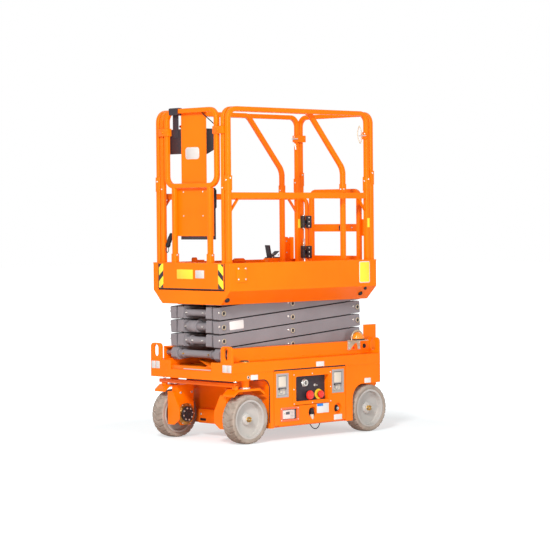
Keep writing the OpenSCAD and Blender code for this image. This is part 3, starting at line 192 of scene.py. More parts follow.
finishes = {
    "orangePaint": {"color": (255, 122, 4), "tone": (253, 117, 3), "rough": (0.30, 0.42), "gloss": 0.16,
                    "bump": (420, 0.05, 0.0004), "dust": (226, 138, 66), "dustTop": 0.22, "dustShare": 0.4},
    "greyPaint": {"color": (134, 131, 135), "tone": (127, 124, 128), "rough": (0.38, 0.52), "gloss": 0.3,
                  "bump": (300, 0.08, 0.0004)},
    "blackPlastic": {"color": (54, 46, 52), "tone": (46, 40, 46), "rough": (0.42, 0.6), "gloss": 0.3,
                     "bump": (900, 0.25, 0.0004)},
    # this black also paints the shade in the latch gaps
    "blackMetalAndShade": {"color": (48, 45, 49), "tone": (38, 36, 40), "rough": (0.35, 0.5), "gloss": 0.35,
                   "bump": (500, 0.1, 0.0003)},
    "zincSteel": {"color": (214, 211, 205), "tone": (198, 195, 189), "rough": (0.28, 0.42), "metal": 0.75,
                  "bump": (700, 0.08, 0.0003)},
    "latchGrey": {"color": (166, 163, 162), "tone": (154, 151, 151), "rough": (0.34, 0.46), "metal": 0.15,
                  "bump": (600, 0.08, 0.0003)},
    "latchPale": {"color": (206, 199, 184), "tone": (194, 188, 174), "rough": (0.30, 0.42), "metal": 0.1,
                  "bump": (600, 0.08, 0.0003)},
    "pinSteel": {"color": (190, 178, 154), "tone": (164, 152, 130), "rough": (0.30, 0.44), "metal": 0.4,
                 "bump": (600, 0.1, 0.0003)},
    "beaconSteel": {"color": (200, 188, 162), "tone": (178, 168, 146), "rough": (0.32, 0.46), "metal": 0.35,
                    "bump": (600, 0.1, 0.0003)},
    "chromeRod": {"color": (226, 226, 228), "tone": (216, 216, 220), "rough": (0.08, 0.16), "metal": 1.0},
    "brassZinc": {"color": (204, 164, 88), "tone": (150, 112, 58), "rough": (0.25, 0.42), "metal": 0.8,
                  "patch": 26, "bump": (500, 0.1, 0.0003)},
    "tyreRubber": {"color": (166, 156, 145), "tone": (142, 132, 121), "rough": (0.75, 0.92), "patch": 18,
                   "gloss": 0.2, "bump": (380, 0.35, 0.0008), "dust": (142, 130, 116), "dustTop": 0.2},
    "rimPaint": {"color": (184, 183, 179), "tone": (172, 172, 169), "rough": (0.34, 0.48), "gloss": 0.35,
                 "bump": (350, 0.08, 0.0004), "dust": (158, 146, 130), "dustTop": 0.25},
    "whitePlate": {"color": (214, 214, 212), "tone": (208, 208, 206), "rough": (0.4, 0.5), "gloss": 0.3,
                   "bump": (800, 0.05, 0.0002)},
    "yellowPlate": {"color": (250, 222, 66), "tone": (244, 212, 56), "rough": (0.4, 0.5), "gloss": 0.3,
                    "bump": (800, 0.05, 0.0002)},
    "bluePlate": {"color": (22, 126, 214), "tone": (18, 118, 206), "rough": (0.4, 0.5),
                  "bump": (800, 0.05, 0.0002)},
    "redPlastic": {"color": (238, 46, 26), "tone": (226, 40, 22), "rough": (0.22, 0.32), "coat": 0.2,
                   "bump": (600, 0.08, 0.0003)},
    "yellowPlastic": {"color": (248, 210, 48), "tone": (240, 198, 40), "rough": (0.3, 0.4),
                      "bump": (600, 0.08, 0.0003)},
    "coralPlastic": {"color": (244, 112, 70), "tone": (236, 104, 62), "rough": (0.25, 0.35), "gloss": 0.4,
                     "bump": (600, 0.06, 0.0002)},
    # this black also paints the shade strips in the door, front panel and arch gaps
    "blackRubberAndShade": {"color": (38, 34, 38), "tone": (30, 27, 31), "rough": (0.55, 0.75), "gloss": 0.25,
                    "bump": (500, 0.2, 0.0005)},
    "paleUnit": {"color": (222, 210, 206), "tone": (210, 198, 194), "rough": (0.3, 0.42),
                 "bump": (600, 0.05, 0.0002)},
    "glassGrey": {"color": (86, 84, 92), "tone": (74, 72, 80), "rough": (0.12, 0.2), "bump": (400, 0.03, 0.0002)},
    "greenLamp": {"color": (96, 190, 92), "tone": (80, 176, 78), "rough": (0.2, 0.3), "bump": (400, 0.05, 0.0002)},
    "wireBeige": {"color": (206, 194, 168), "tone": (188, 176, 150), "rough": (0.4, 0.55), "metal": 0.3,
                  "bump": (900, 0.2, 0.0003)},
}
mats = {name: finish(name, look) for name, look in finishes.items()}


def amberLens():
    mat, tree, shader = newMaterial("amberLens")
    rings = tree.nodes.new("ShaderNodeTexWave")
    rings.bands_direction = "Z"
    rings.inputs["Scale"].default_value = 70
    tree.links.new(objectSpot(tree), rings.inputs["Vector"])
    tint = ramp(tree, rings.outputs["Fac"], [(0.2, screen(250, 132, 8)), (0.9, screen(255, 168, 40))])
    tree.links.new(tint, shader.inputs["Base Color"])
    bump(tree, shader, rings.outputs["Fac"], 0.4, 0.001)
    shader.inputs["Roughness"].default_value = 0.18
    shader.inputs["Transmission Weight"].default_value = 0.2
    return mat


stripes = {"lean": 0.85, "shift": 0.058, "half": 0.043, "edge": 0.0235}


def hazardStripes():
    mat, tree, shader = newMaterial("hazardStripes")
    split = splitSpot(tree)
    out = mathNode(tree, "ABSOLUTE", split["Y"])
    slant = mathNode(tree, "MULTIPLY_ADD", out, stripes["lean"], split["Z"])
    turn = mathNode(tree, "PINGPONG", mathNode(tree, "ADD", slant, stripes["shift"]), stripes["half"])
    edge = stripes["edge"]
    tint = ramp(tree, turn, [(edge, screen(250, 232, 62)), (edge + 0.0005, screen(48, 36, 46))])
    tree.links.new(tint, shader.inputs["Base Color"])
    tree.links.new(spread(tree, noise(tree, 80, 4), 0.34, 0.46), shader.inputs["Roughness"])
    shader.inputs["Specular IOR Level"].default_value = 0.3
    return mat


mats["amberLens"] = amberLens()
mats["hazardStripes"] = hazardStripes()
print("finishes:", len(mats))


# finish and edge softening of the solids that stay
nodeFinish = {
    "orangePaint": ["chassis_frame", "scissor_channels", "lifting_lugs", "ladder", "door_left", "door_right",
                    "knuckle_left", "knuckle_right", "tie_rod", "platform_deck", "lower_rails", "side_rail_left",
                    "side_rail_right", "rear_rail", "gate_frame", "extension_deck", "extension_rails", "front_loop",
                    "loop_plates"],
    "greyPaint": ["outer_arms_1", "outer_arms_2", "outer_arms_3", "outer_arms_4", "inner_arms_1", "inner_arms_2",
                  "inner_arms_3", "inner_arms_4", "lift_barrel"],
    "blackPlastic": ["ground_controls", "control_box", "document_box", "foot_pedal"],
    "blackMetalAndShade": ["rear_axle", "battery_pack", "hydraulic_unit", "gate_hinges"],
    "latchGrey": ["door_left_latches", "door_right_latches"],
    "beaconSteel": ["beacon_guard"],
    "chromeRod": ["lift_rod"],
    "amberLens": ["beacon"],
    "brassZinc": ["drive_motor_left", "drive_motor_right"],
    "rimPaint": ["rim_front_left", "rim_front_right", "rim_rear_left", "rim_rear_right"],
    "tyreRubber": ["tyre_front_left", "tyre_front_right", "tyre_rear_left", "tyre_rear_right"],
}
softEdge = {"width": 0.0016, "segments": 2, "angle": 35, "weld": 0.00002}


def dressNode(node, mat):
    obj = nodes[node]
    obj.data.materials.clear()
    obj.data.materials.append(mat)
    weld = obj.modifiers.new("weld", "WELD")
    weld.merge_threshold = softEdge["weld"]
    flat = obj.modifiers.new("flat", "DECIMATE")
    flat.decimate_type = "DISSOLVE"
    flat.angle_limit = math.radians(0.5)
    edge = obj.modifiers.new("edge", "BEVEL")
    edge.width = softEdge["width"]
    edge.segments = softEdge["segments"]
    edge.limit_method = "ANGLE"
    edge.angle_limit = math.radians(softEdge["angle"])
    edge.use_clamp_overlap = True
    edge.harden_normals = True


for matName, names in nodeFinish.items():
    for node in names:
        dressNode(node, mats[matName])
print("solids dressed")


# mesh helpers: a spot is a matrix whose Z points out of the surface and whose Y points up on it
def spot(place, out, up=(0, 0, 1)):
    z = Vector(out).normalized()
    y = Vector(up)
    y = (y - z * y.dot(z)).normalized()
    return Matrix.Translation(place) @ Matrix((y.cross(z), y, z)).transposed().to_4x4()


def onSide(x, y, z):
    return spot((x, y, z), (0, math.copysign(1, y), 0))


def onFront(x, y, z):
    return spot((x, y, z), (1, 0, 0))


def onTop(x, y, z):
    return spot((x, y, z), (0, 0, 1), (1, 0, 0))


def shifted(at, *by):
    return at @ Matrix.Translation(by)


def outlineRow(bm, at, outline, height):
    return [bm.verts.new(at @ Vector((x, y, height))) for x, y in outline]


# faces between two rows of points that each go once around
def skin(bm, here, after):
    for i in range(len(here)):
        j = (i + 1) % len(here)
        bm.faces.new((here[i], here[j], after[j], after[i]))


def closeEnds(bm, first, last):
    bm.faces.new(list(reversed(first)))
    bm.faces.new(last)


def neighbours(rows, closed):
    return zip(rows, rows[1:] + rows[:1]) if closed else zip(rows, rows[1:])


def prism(bm, at, outline, low, high):
    foot, top = (outlineRow(bm, at, outline, h) for h in (low, high))
    closeEnds(bm, foot, top)
    skin(bm, foot, top)


def roundRect(w, h, r, steps=4, shift=(0, 0)):
    points = []
    x, y = w / 2 - r, h / 2 - r
    for cx, cy, start in ((x, y, 0), (-x, y, 90), (-x, -y, 180), (x, -y, 270)):
        for i in range(steps + 1):
            a = math.radians(start + 90 * i / steps)
            points.append((cx + r * math.cos(a) + shift[0], cy + r * math.sin(a) + shift[1]))
    return points


# flat frame between two outlines with the same number of points
def framePlate(bm, at, outer, inner, low, high):
    edges = ((outer, low), (outer, high), (inner, high), (inner, low))
    for here, after in neighbours([outlineRow(bm, at, outline, h) for outline, h in edges], True):
        skin(bm, here, after)


def plate(bm, at, w, h, r, t):
    rim, sink = min(0.0006, t / 3), 0.0003
    rows = [outlineRow(bm, at, roundRect(w - 2 * inset, h - 2 * inset, r), height)
            for inset, height in ((0, -sink), (0, t - rim), (rim, t))]
    for here, after in neighbours(rows, False):
        skin(bm, here, after)
    closeEnds(bm, rows[0], rows[-1])


# turned shape; a profile that closes on itself makes a ring
def lathe(bm, at, profile, sides=24, closed=False):
    turn = 2 * math.pi / sides
    circle = [(math.cos(turn * i), math.sin(turn * i)) for i in range(sides)]
    rings = []
    for r, h in profile:
        around = circle if r > 1e-7 else [(0, 0)]
        rings.append(outlineRow(bm, at, [(r * u, r * v) for u, v in around], h))
    for low, high in neighbours(rings, closed):
        if len(low) == len(high):
            skin(bm, low, high)
            continue
        for i in range(sides):
            j = (i + 1) % sides
            bm.faces.new((low[0], high[j], high[i]) if len(low) == 1 else (low[i], low[j], high[0]))


def ring(bm, at, rIn, rOut, low, high, sides=28):
    soft = min(0.0012, (rOut - rIn) / 4, (high - low) / 3)
    lathe(bm, at, [(rIn, low), (rOut, low), (rOut, high - soft), (rOut - soft, high), (rIn + soft, high),
                   (rIn, high - soft)], sides, closed=True)


def domeScrew(bm, at, d):
    lathe(bm, at, [(0, -0.0004), (d * 0.5, -0.0004), (d * 0.5, d * 0.10), (d * 0.40, d * 0.27), (d * 0.22, d * 0.34),
                   (d * 0.20, d * 0.22), (0, d * 0.20)], 14)


def hexBolt(bm, at, d):
    lathe(bm, at, [(0, -0.0003), (d * 1.05, -0.0003), (d * 1.05, d * 0.14), (d * 0.98, d * 0.18), (0, d * 0.18)],
          20)
    lathe(bm, at, [(0, d * 0.16), (d * 0.9, d * 0.16), (d * 0.9, d * 0.62), (d * 0.72, d * 0.70), (0, d * 0.70)], 6)


def boltCircle(bm, at, count, start, r, height, d):
    for i in range(count):
        a = math.radians(360 / count * i + start)
        hexBolt(bm, shifted(at, r * math.cos(a), r * math.sin(a), height), d)


# round bar through a row of points
def bar(bm, points, r, sides=10, closed=False):
    points = [Vector(p) for p in points]
    count = len(points)
    rings = []
    side = None
    for i, here in enumerate(points):
        back = points[i - 1] if i or closed else here
        ahead = points[(i + 1) % count] if i + 1 < count or closed else here
        run = (ahead - back).normalized()
        if side is None:
            side = run.orthogonal().normalized()
        side = (side - run * side.dot(run)).normalized()
        other = run.cross(side)
        turn = 2 * math.pi / sides
        rings.append([bm.verts.new(here + side * (r * math.cos(turn * k)) + other * (r * math.sin(turn * k)))
                      for k in range(sides)])
    for low, high in neighbours(rings, closed):
        skin(bm, low, high)
    if not closed:
        closeEnds(bm, rings[0], rings[-1])


def bend(points, steps=6):
    points = [Vector(p) for p in points]
    line = [points[0]]
    for i in range(len(points) - 1):
        a, b, c, d = points[max(i - 1, 0)], points[i], points[i + 1], points[min(i + 2, len(points) - 1)]
        for k in range(1, steps + 1):
            t = k / steps
            square, cube = 2 * a - 5 * b + 4 * c - d, 3 * b - a - 3 * c + d
            line.append(0.5 * (2 * b + (c - a) * t + square * t * t + cube * t ** 3))
    return line


def piece(name, bm, matName, body, smooth=40):
    mesh = bpy.data.meshes.new(name)
    bmesh.ops.recalc_face_normals(bm, faces=bm.faces)
    bm.to_mesh(mesh)
    bm.free()
    mesh.materials.append(mats[matName])
    obj = bpy.data.objects.new(name, mesh)
    scene.collection.objects.link(obj)
    mesh.shade_smooth()
    mesh.set_sharp_from_angle(angle=math.radians(smooth))
    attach(obj, body)
    return obj


# small parts of one kind on one body are gathered in one piece
trays = {}


def tray(name, matName, body):
    if name not in trays:
        trays[name] = (bmesh.new(), matName, body)
    return trays[name][0]


sides = {"left": 1, "right": -1}
corners = [(i, j) for i in (-1, 1) for j in (-1, 1)]


# tyres with slanted tread lugs
tread = {"lugs": 24, "depth": 0.007, "slant": 7.0, "shoulder": 0.012}


def treadTyre(end):
    low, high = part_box("tyre_" + end)
    mid = (low + high) / 2
    r, half = (high.z - low.z) / 2, (high.y - low.y) / 2
    rimLow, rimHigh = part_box("rim_" + end)
    bead = (rimHigh.z - rimLow.z) / 2 + 0.0003
    deep, edge = tread["depth"], tread["shoulder"]
    profile = [(-half + 0.004, bead, 0), (-half, bead + 0.008, 0), (-half, r - edge, 0),
               (-half + 0.005, r - 0.003, 0.8), (-half * 0.52, r, 1), (0, r, 0.25), (half * 0.52, r, 1),
               (half - 0.005, r - 0.003, 0.8), (half, r - edge, 0), (half, bead + 0.008, 0),
               (half - 0.004, bead, 0)]
    bm = bmesh.new()
    rings = []
    for i in range(tread["lugs"] * 3):
        lug, part = divmod(i, 3)
        loop = []
        for y, radius, cut in profile:
            turn = (lug + (0.0, 0.62, 0.81)[part]) * 360 / tread["lugs"]
            turn += tread["slant"] * (abs(y) / half) + (4.0 if y < 0 else 0.0) * cut
            here = radius - (deep * cut if part == 2 else 0)
            a = math.radians(turn)
            loop.append(bm.verts.new((mid.x + here * math.cos(a), mid.y + y, mid.z + here * math.sin(a))))
        rings.append(loop)
    for loop, after in neighbours(rings, True):
        skin(bm, loop, after)
    obj = piece("tread_tyre_" + end, bm, "tyreRubber", "wheel_" + end, smooth=28)
    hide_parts("tyre_" + end)


wheelEnds = ("front_left", "front_right", "rear_left", "rear_right")
for end in wheelEnds:
    treadTyre(end)
print("tyres done")


# raised hub boss, washer and castle nut on each wheel
wheelNut = {"flat": 0.0195, "base": 0.0120, "tall": 0.0225, "crown": 0.005, "washer": 0.0225, "boss": 0.0345,
            "bore": 0.0196, "hub": 0.348, "frontX": 0.562, "rearX": -0.506, "z": 0.1525}


def wheelNuts(end):
    row, side = end.split("_")
    sign = sides[side]
    x = wheelNut["frontX"] if row == "front" else wheelNut["rearX"]
    body = "knuckle_" + side if row == "front" else "chassis"
    at = onSide(x, sign * wheelNut["hub"], wheelNut["z"])
    flat, base, tall = wheelNut["flat"], wheelNut["base"], wheelNut["tall"]
    boss, bore = wheelNut["boss"], wheelNut["bore"]
    lathe(tray("hub_boss_" + end, "rimPaint", "wheel_" + end), at,
          [(bore, 0.0003), (boss + 0.004, 0.0003), (boss, 0.0040), (boss, 0.0068), (boss - 0.003, 0.0092),
           (bore + 0.004, 0.0092), (bore, 0.0092)], 40, closed=True)
    washer = wheelNut["washer"]
    lathe(tray("hub_washers_" + body, "zincSteel", body), at,
          [(0, 0.0101), (washer, 0.0101), (washer, base - 0.0004), (washer - 0.001, base + 0.0002),
           (0, base + 0.0002)], 32)
    nut = tray("castle_nuts_" + body, "brassZinc", body)
    lathe(nut, at, [(0, base), (flat, base), (flat, tall - 0.003), (flat * 0.9, tall), (flat * 0.62, tall),
                    (flat * 0.55, tall - 0.003), (0, tall - 0.003)], 6)
    for i in range(6):
        a = math.radians(60 * i + 30)
        inner, outer, wide = flat * 0.5, flat * 0.82, 0.0035
        turn = Matrix.Rotation(a, 4, "Z")
        prism(nut, at @ turn, [(inner, -wide), (outer, -wide), (outer, wide), (inner, wide)], tall - 0.002,
              tall + wheelNut["crown"])
    lathe(nut, at, [(0, tall - 0.004), (flat * 0.42, tall - 0.004), (flat * 0.42, tall + 0.004),
                    (flat * 0.30, tall + 0.007), (0, tall + 0.007)], 16)
    pin = tray("split_pins_" + body, "zincSteel", body)
    across = [at @ Vector((u, v, tall + 0.0030))
              for u, v in ((-flat, 0.001), (0, 0), (flat, 0.001), (flat + 0.004, 0.004))]
    bar(pin, bend(across, 4), 0.0014, 8)


for end in wheelEnds:
    wheelNuts(end)


# steering knuckles: kingpin washer, tie rod bolt, motor end with its bolts, yoke bolts
knuckleSet = {"x": 0.562, "y": 0.330, "top": 0.341, "tieX": 0.644, "tieTop": 0.3845, "motorFace": 0.206,
              "flangeFace": 0.2157, "z": 0.1525, "motorBolts": (8, 12, 0.0375, 0.0072, 0.0052),
              "flangeBolts": (6, 0, 0.0642, 0, 0.0042), "ribs": ((0.0505, 0.0535, 0.004), (0.0565, 0.0600, 0.003)),
              "yokeBolts": (-0.055, 0.040), "yokeFace": 0.224, "yokeZ": 0.290}


def dressKnuckle(side):
    sign, k = sides[side], knuckleSet
    body = "knuckle_" + side
    zinc = tray("zinc_fittings_" + body, "zincSteel", body)
    ring(zinc, onTop(k["x"], sign * k["y"], k["top"]), 0.0276, 0.0338, 0.0003, 0.0085, 32)
    hexBolt(zinc, onTop(k["tieX"], sign * k["y"], k["tieTop"]), 0.0125)
    hexBolt(zinc, spot((k["tieX"], sign * k["y"], k["top"] - 0.0145), (0, 0, -1), (1, 0, 0)), 0.010)
    inward = spot((k["x"], sign * k["motorFace"], k["z"]), (0, -sign, 0))
    cap = tray("motor_end_" + body, "blackMetalAndShade", body)
    lathe(cap, inward, [(0, -0.004), (0.0482, -0.004), (0.0482, 0.004), (0.0455, 0.0072), (0.0300, 0.0072),
                        (0.0285, 0.0045), (0.0200, 0.0045), (0.0190, 0.0080), (0.0100, 0.0080), (0.0090, 0.0060),
                        (0, 0.0060)], 40)
    boltCircle(zinc, inward, *k["motorBolts"])
    face = spot((k["x"], sign * k["flangeFace"], k["z"]), (0, -sign, 0))
    band = tray("motor_ribs_" + body, "brassZinc", body)
    for rIn, rOut, tall in k["ribs"]:
        ring(band, face, rIn, rOut, -0.0002, tall, 48)
    boltCircle(zinc, face, *k["flangeBolts"])
    yoke = tray("yoke_bolts_" + body, "zincSteel", body)
    for x in k["yokeBolts"]:
        hexBolt(yoke, spot((k["x"] + x, sign * k["yokeFace"], k["yokeZ"]), (0, -sign, 0)), 0.0075)


# bent front flange of each yoke, drawn as sideways place and height
yokeFlange = {"x": 0.662, "t": 0.008, "web": (0.631, 0.665), "webY": (0.2715, 0.2355), "webZ": 0.207,
              "webTall": 0.186, "outline": [(0.272, 0.302), (0.222, 0.302), (0.168, 0.206), (0.164, 0.190),
                                            (0.164, 0.132), (0.170, 0.122), (0.214, 0.092), (0.272, 0.092)]}


def makeYokeFlange(side, look):
    sign = sides[side]
    bm = tray("yoke_flange_" + side, "orangePaint", "knuckle_" + side)
    outline = [(sign * y, z) for y, z in look["outline"]]
    prism(bm, onFront(look["x"], 0, 0), outline, 0, look["t"])
    x0, x1 = look["web"]
    for y in look["webY"]:
        at = spot(((x0 + x1) / 2, sign * y, look["webZ"]), (0, -sign, 0))
        plate(bm, at, x1 - x0, look["webTall"], 0.003, look["t"])


for side in sides:
    dressKnuckle(side)
    makeYokeFlange(side, yokeFlange)
print("wheels and knuckles done")


# scissor arms: pin rings, sockets, keeper screws, tube collars, nipples and one blank plate
armSet = {"frontX": 0.641, "midX": 0.0475, "rearX": -0.546, "z": (0.5465, 0.6328, 0.7191, 0.8054, 0.8917),
          "head": 0.230, "face": 0.225, "keeper": (0.034, 0.005), "tube": 0.023}


def dressArms(level):
    body = "outer_%d" % level
    low, high = armSet["z"][level - 1], armSet["z"][level]
    pins = [(armSet["frontX"], low), (armSet["midX"], (low + high) / 2), (armSet["rearX"], high)]
    if level == 1:
        pins = pins[1:]
    if level == 4:
        pins = pins[:-1]
    for sign in sides.values():
        for x, z in pins:
            at = onSide(x, sign * armSet["head"], z)
            ring(tray("pin_rings_%d" % level, "pinSteel", body), at, 0.0108, 0.0172, -0.0005, 0.0030)
            lathe(tray("pin_sockets_%d" % level, "blackMetalAndShade", body), at,
                  [(0, -0.0004), (0.0106, -0.0004), (0.0106, 0.0018), (0.0092, 0.0026), (0.0062, 0.0026),
                   (0.0058, 0.0006), (0, 0.0006)], 18)
            keeper = onSide(x + armSet["keeper"][0], sign * armSet["face"], z + armSet["keeper"][1])
            domeScrew(tray("keeper_screws_%d" % level, "zincSteel", body), keeper, 0.0150)


for level in range(1, 5):
    dressArms(level)

collars = {1: [(-0.064, 0.012, 0.0290)], 2: [(-0.0745, 0.0115, 0.0370), (-0.009, 0.0115, 0.0370)],
           3: [(-0.100, 0.008, 0.0262), (0.092, 0.008, 0.0262)]}
nipples = {1: (-0.094, -0.035, 0.058), 2: (-0.097, 0.060), 3: (-0.086, 0.065)}


def nipple(bm, at):
    lathe(bm, at, [(0, -0.001), (0.0052, -0.001), (0.0052, 0.003), (0.0034, 0.004), (0.0034, 0.007),
                   (0.0044, 0.0085), (0.0036, 0.0105), (0, 0.011)], 12)


for level, row in collars.items():
    body = "inner_%d" % level
    for y, wide, r in row:
        at = spot((armSet["frontX"], y, armSet["z"][level]), (0, 1, 0))
        ring(tray("tube_collars_%d" % level, "greyPaint", body), at, armSet["tube"] + 0.0002, r, 0, wide, 32)
    for y in nipples[level]:
        nipple(tray("nipples_%d" % level, "zincSteel", body),
               onFront(armSet["frontX"] + armSet["tube"], y, armSet["z"][level]))
baseTube = {"nipples": (-0.122, 0.115), "collars": (-0.168, -0.136, 0.126, 0.158), "r": 0.0285, "wide": 0.009}
for y in baseTube["nipples"]:
    nipple(tray("nipples_base", "brassZinc", "outer_1"),
           onFront(armSet["frontX"] + armSet["tube"], y, armSet["z"][0]))
for y in baseTube["collars"]:
    at = spot((armSet["frontX"], y, armSet["z"][0]), (0, 1, 0))
    ring(tray("base_collars", "greyPaint", "outer_1"), at, armSet["tube"] + 0.0002, baseTube["r"], 0,
         baseTube["wide"], 32)
armPlate = {"x": 0.529, "z": 0.7300, "w": 0.119, "h": 0.054, "up": (0.0725, 0, 0.9974)}
plate(tray("arm_plate", "whitePlate", "outer_3"),
      spot((armPlate["x"], armSet["face"], armPlate["z"]), (0, 1, 0), armPlate["up"]), armPlate["w"], armPlate["h"],
      0.007, 0.0012)
print("scissor arms done")


# chassis: blank plates, kingpin caps, eyelets, channel and beacon trim, then brace, sill, painted arch gap shade,
# apron and grips
chassisPlates = [(-0.0465, 0.4645, 0.071, 0.031), (-0.481, 0.3345, 0.058, 0.031), (0.5285, 0.4115, 0.061, 0.031)]
cornerPlates = {"y": (0.314, 0.355), "z": 0.4705, "w": 0.038, "h": 0.046}
sideFace, noseFace, channelFace, kingpinTop = 0.380, 0.715, 0.300, 0.505
eyelet = {"x": 0.579, "z": 0.414}
channelTrim = {"screws": (0.030, -0.120, 0.380), "screwZ": 0.520, "plugX": -0.534, "plugZ": 0.553}
beaconTrim = {"boltX": (-0.389, -0.481), "boltZ": (0.545, 0.580), "boltFace": 0.3043, "notchFace": 0.3040,
              "pilot": (-0.429, 0.3051, 0.545), "base": (-0.435, 0.334, 0.597),
              "notch": [(-0.404, 0.5335), (-0.409, 0.545), (-0.444, 0.574), (-0.458, 0.574), (-0.466, 0.556),
                        (-0.468, 0.5335)]}

for x, z, w, h in chassisPlates:
    plate(tray("side_plates", "whitePlate", "chassis"), onSide(x, sideFace, z), w, h, 0.003, 0.0010)
for sign in sides.values():
    for y in cornerPlates["y"]:
        plate(tray("corner_plates", "whitePlate", "chassis"), onFront(noseFace, sign * y, cornerPlates["z"]),
              cornerPlates["w"], cornerPlates["h"], 0.003, 0.0010)
    cap = onTop(knuckleSet["x"], sign * knuckleSet["y"], kingpinTop)
    lathe(tray("kingpin_caps", "blackMetalAndShade", "chassis"), cap,
          [(0, 0.004), (0.026, 0.004), (0.026, 0.0085), (0.0235, 0.0105), (0.010, 0.0105), (0.009, 0.0090),
           (0, 0.0090)], 32)
    ring(tray("kingpin_rings", "brassZinc", "chassis"), cap, 0.020, 0.031, -0.0003, 0.0048, 36)
    eye = onSide(eyelet["x"], sign * sideFace, eyelet["z"])
    ring(tray("side_eyelets", "zincSteel", "chassis"), eye, 0.0060, 0.0098, -0.0003, 0.0022)
    lathe(tray("side_eyelet_plugs", "blackRubberAndShade", "chassis"), eye,
          [(0, -0.0002), (0.0059, -0.0002), (0.0059, 0.0008), (0.003, 0.0014), (0, 0.0014)], 16)
    for x in channelTrim["screws"]:
        domeScrew(tray("channel_screws", "orangePaint", "chassis"),
                  onSide(x, sign * channelFace, channelTrim["screwZ"]), 0.010)
lathe(tray("channel_plug", "blackRubberAndShade", "chassis"),
      onSide(channelTrim["plugX"], channelFace, channelTrim["plugZ"]),
      [(0, -0.0003), (0.0145, -0.0003), (0.0145, 0.002), (0.0125, 0.004), (0.0070, 0.004), (0.0060, 0.0025),
       (0, 0.0025)], 24)
for z in beaconTrim["boltZ"]:
    for x in beaconTrim["boltX"]:
        hexBolt(tray("beacon_bolts", "zincSteel", "chassis"), onSide(x, beaconTrim["boltFace"], z), 0.0075)
notch = [(-x, z) for x, z in beaconTrim["notch"]]
prism(tray("beacon_notch", "orangePaint", "chassis"), spot((0, beaconTrim["notchFace"], 0), (0, 1, 0)), notch, 0,
      0.0012)
domeScrew(tray("beacon_pilot", "redPlastic", "chassis"), onSide(*beaconTrim["pilot"]), 0.015)
ring(tray("beacon_base", "blackRubberAndShade", "chassis"), onTop(*beaconTrim["base"]), 0.0443, 0.0472, 0.0003, 0.0085, 40)

wellBrace = {"from": (0.690, 0.165, 0.478), "to": (0.575, -0.060, 0.505), "wide": 0.034, "thick": 0.006,
             "foot": (0.004, 0.006, -0.0045)}


def makeBrace(look):
    a, b = Vector(look["from"]), Vector(look["to"])
    run = (b - a).normalized()
    at = spot((a + b) / 2, run.cross((-run.y, run.x, 0)), run)
    bm = tray("well_brace", "orangePaint", "chassis")
    plate(bm, at, look["wide"], (b - a).length, 0.004, look["thick"])
    foot = spot(a + Vector(look["foot"]), (0, 0, 1), (1, 0, 0))
    plate(bm, foot, 0.06, 0.05, 0.006, 0.006)


makeBrace(wellBrace)

sill = {"x": 0.7035, "z": 0.461, "w": 0.372, "h": 0.026, "t": 0.006, "rodX": 0.7115, "rodZ": 0.4555,
        "rodY": (-0.067, 0.183)}
plate(tray("sill_cover", "orangePaint", "chassis"), onFront(sill["x"], 0, sill["z"]), sill["w"], sill["h"], 0.002,
      sill["t"])
bar(tray("sill_rod", "zincSteel", "chassis"), [(sill["rodX"], y, sill["rodZ"])
                                               for y in (sill["rodY"][0], 0.06, sill["rodY"][1])], 0.0034, 10)

# black bar along each wheel arch edge: painted shade of the gap between side skin and arch liner
archGapShade = {"y": 0.3755, "r": 0.0028, "edge": 0.3958, "sill": 0.3922, "bend": 0.0572, "foot": 0.120, "end": 0.530}


def makeArchGapShade(sign, look):
    y, edge, sill, bow = sign * look["y"], look["edge"], look["sill"], look["bend"]
    path = [(edge, y, look["foot"]), (edge, y, sill - bow)]
    for i in range(1, 9):
        a = math.radians(180 - 90 * i / 8)
        path.append((edge + bow + bow * math.cos(a), y, sill - bow + bow * math.sin(a)))
    path.append((look["end"], y, sill))
    bar(tray("arch_gap_shade", "blackRubberAndShade", "chassis"), path, look["r"], 8)


for sign in sides.values():
    makeArchGapShade(sign, archGapShade)

apron = {"x": 0.393, "deep": 0.040, "half": 0.245, "low": 0.087, "high": 0.176}


def makeApron(look):
    bm = tray("front_apron", "orangePaint", "chassis")
    mid, tall = (look["low"] + look["high"]) / 2, look["high"] - look["low"]
    plate(bm, onFront(look["x"], 0, mid), 2 * look["half"], tall, 0.004, look["deep"])
    hole = tray("apron_slot", "blackRubberAndShade", "chassis")
    plate(hole, onFront(look["x"] + look["deep"], -0.2025, look["low"] + 0.022), 0.055, 0.016, 0.004, 0.0008)
    for y in (-0.222, 0.222):
        hexBolt(tray("apron_bolts", "zincSteel", "chassis"), onFront(look["x"] + look["deep"], y, mid + 0.012),
                0.007)


makeApron(apron)

# turned-down front edge of the tie rod and the dark steering ram behind it
tieLip = {"x": (0.6580, 0.6655), "z": (0.3743, 0.3640), "h": (0.0088, 0.0165), "t": (0.0120, 0.0045), "w": 0.706}
for x, z, h, t in zip(tieLip["x"], tieLip["z"], tieLip["h"], tieLip["t"]):
    plate(tray("tie_rod_lip", "orangePaint", "tie_rod"), onFront(x, 0, z), tieLip["w"], h, 0.002, t)
steerRam = {"x": 0.572, "z": 0.376, "r": 0.0088, "cap": 0.0105, "ends": (-0.190, 0.262),
            "mounts": (-0.150, 0.030, 0.222)}
ram = spot((steerRam["x"], 0, steerRam["z"]), (0, 1, 0))
low, high = steerRam["ends"]
lathe(tray("steer_ram", "blackMetalAndShade", "chassis"), ram,
      [(0, low), (steerRam["cap"], low), (steerRam["cap"], low + 0.016), (steerRam["r"], low + 0.018),
       (steerRam["r"], high - 0.018), (steerRam["cap"], high - 0.016), (steerRam["cap"], high), (0, high)], 20)
for y in steerRam["mounts"]:
    plate(tray("steer_ram_mounts", "blackMetalAndShade", "chassis"), spot((steerRam["x"] - 0.006, y, 0.389), (0, 1, 0)),
          0.012, 0.014, 0.002, 0.008)

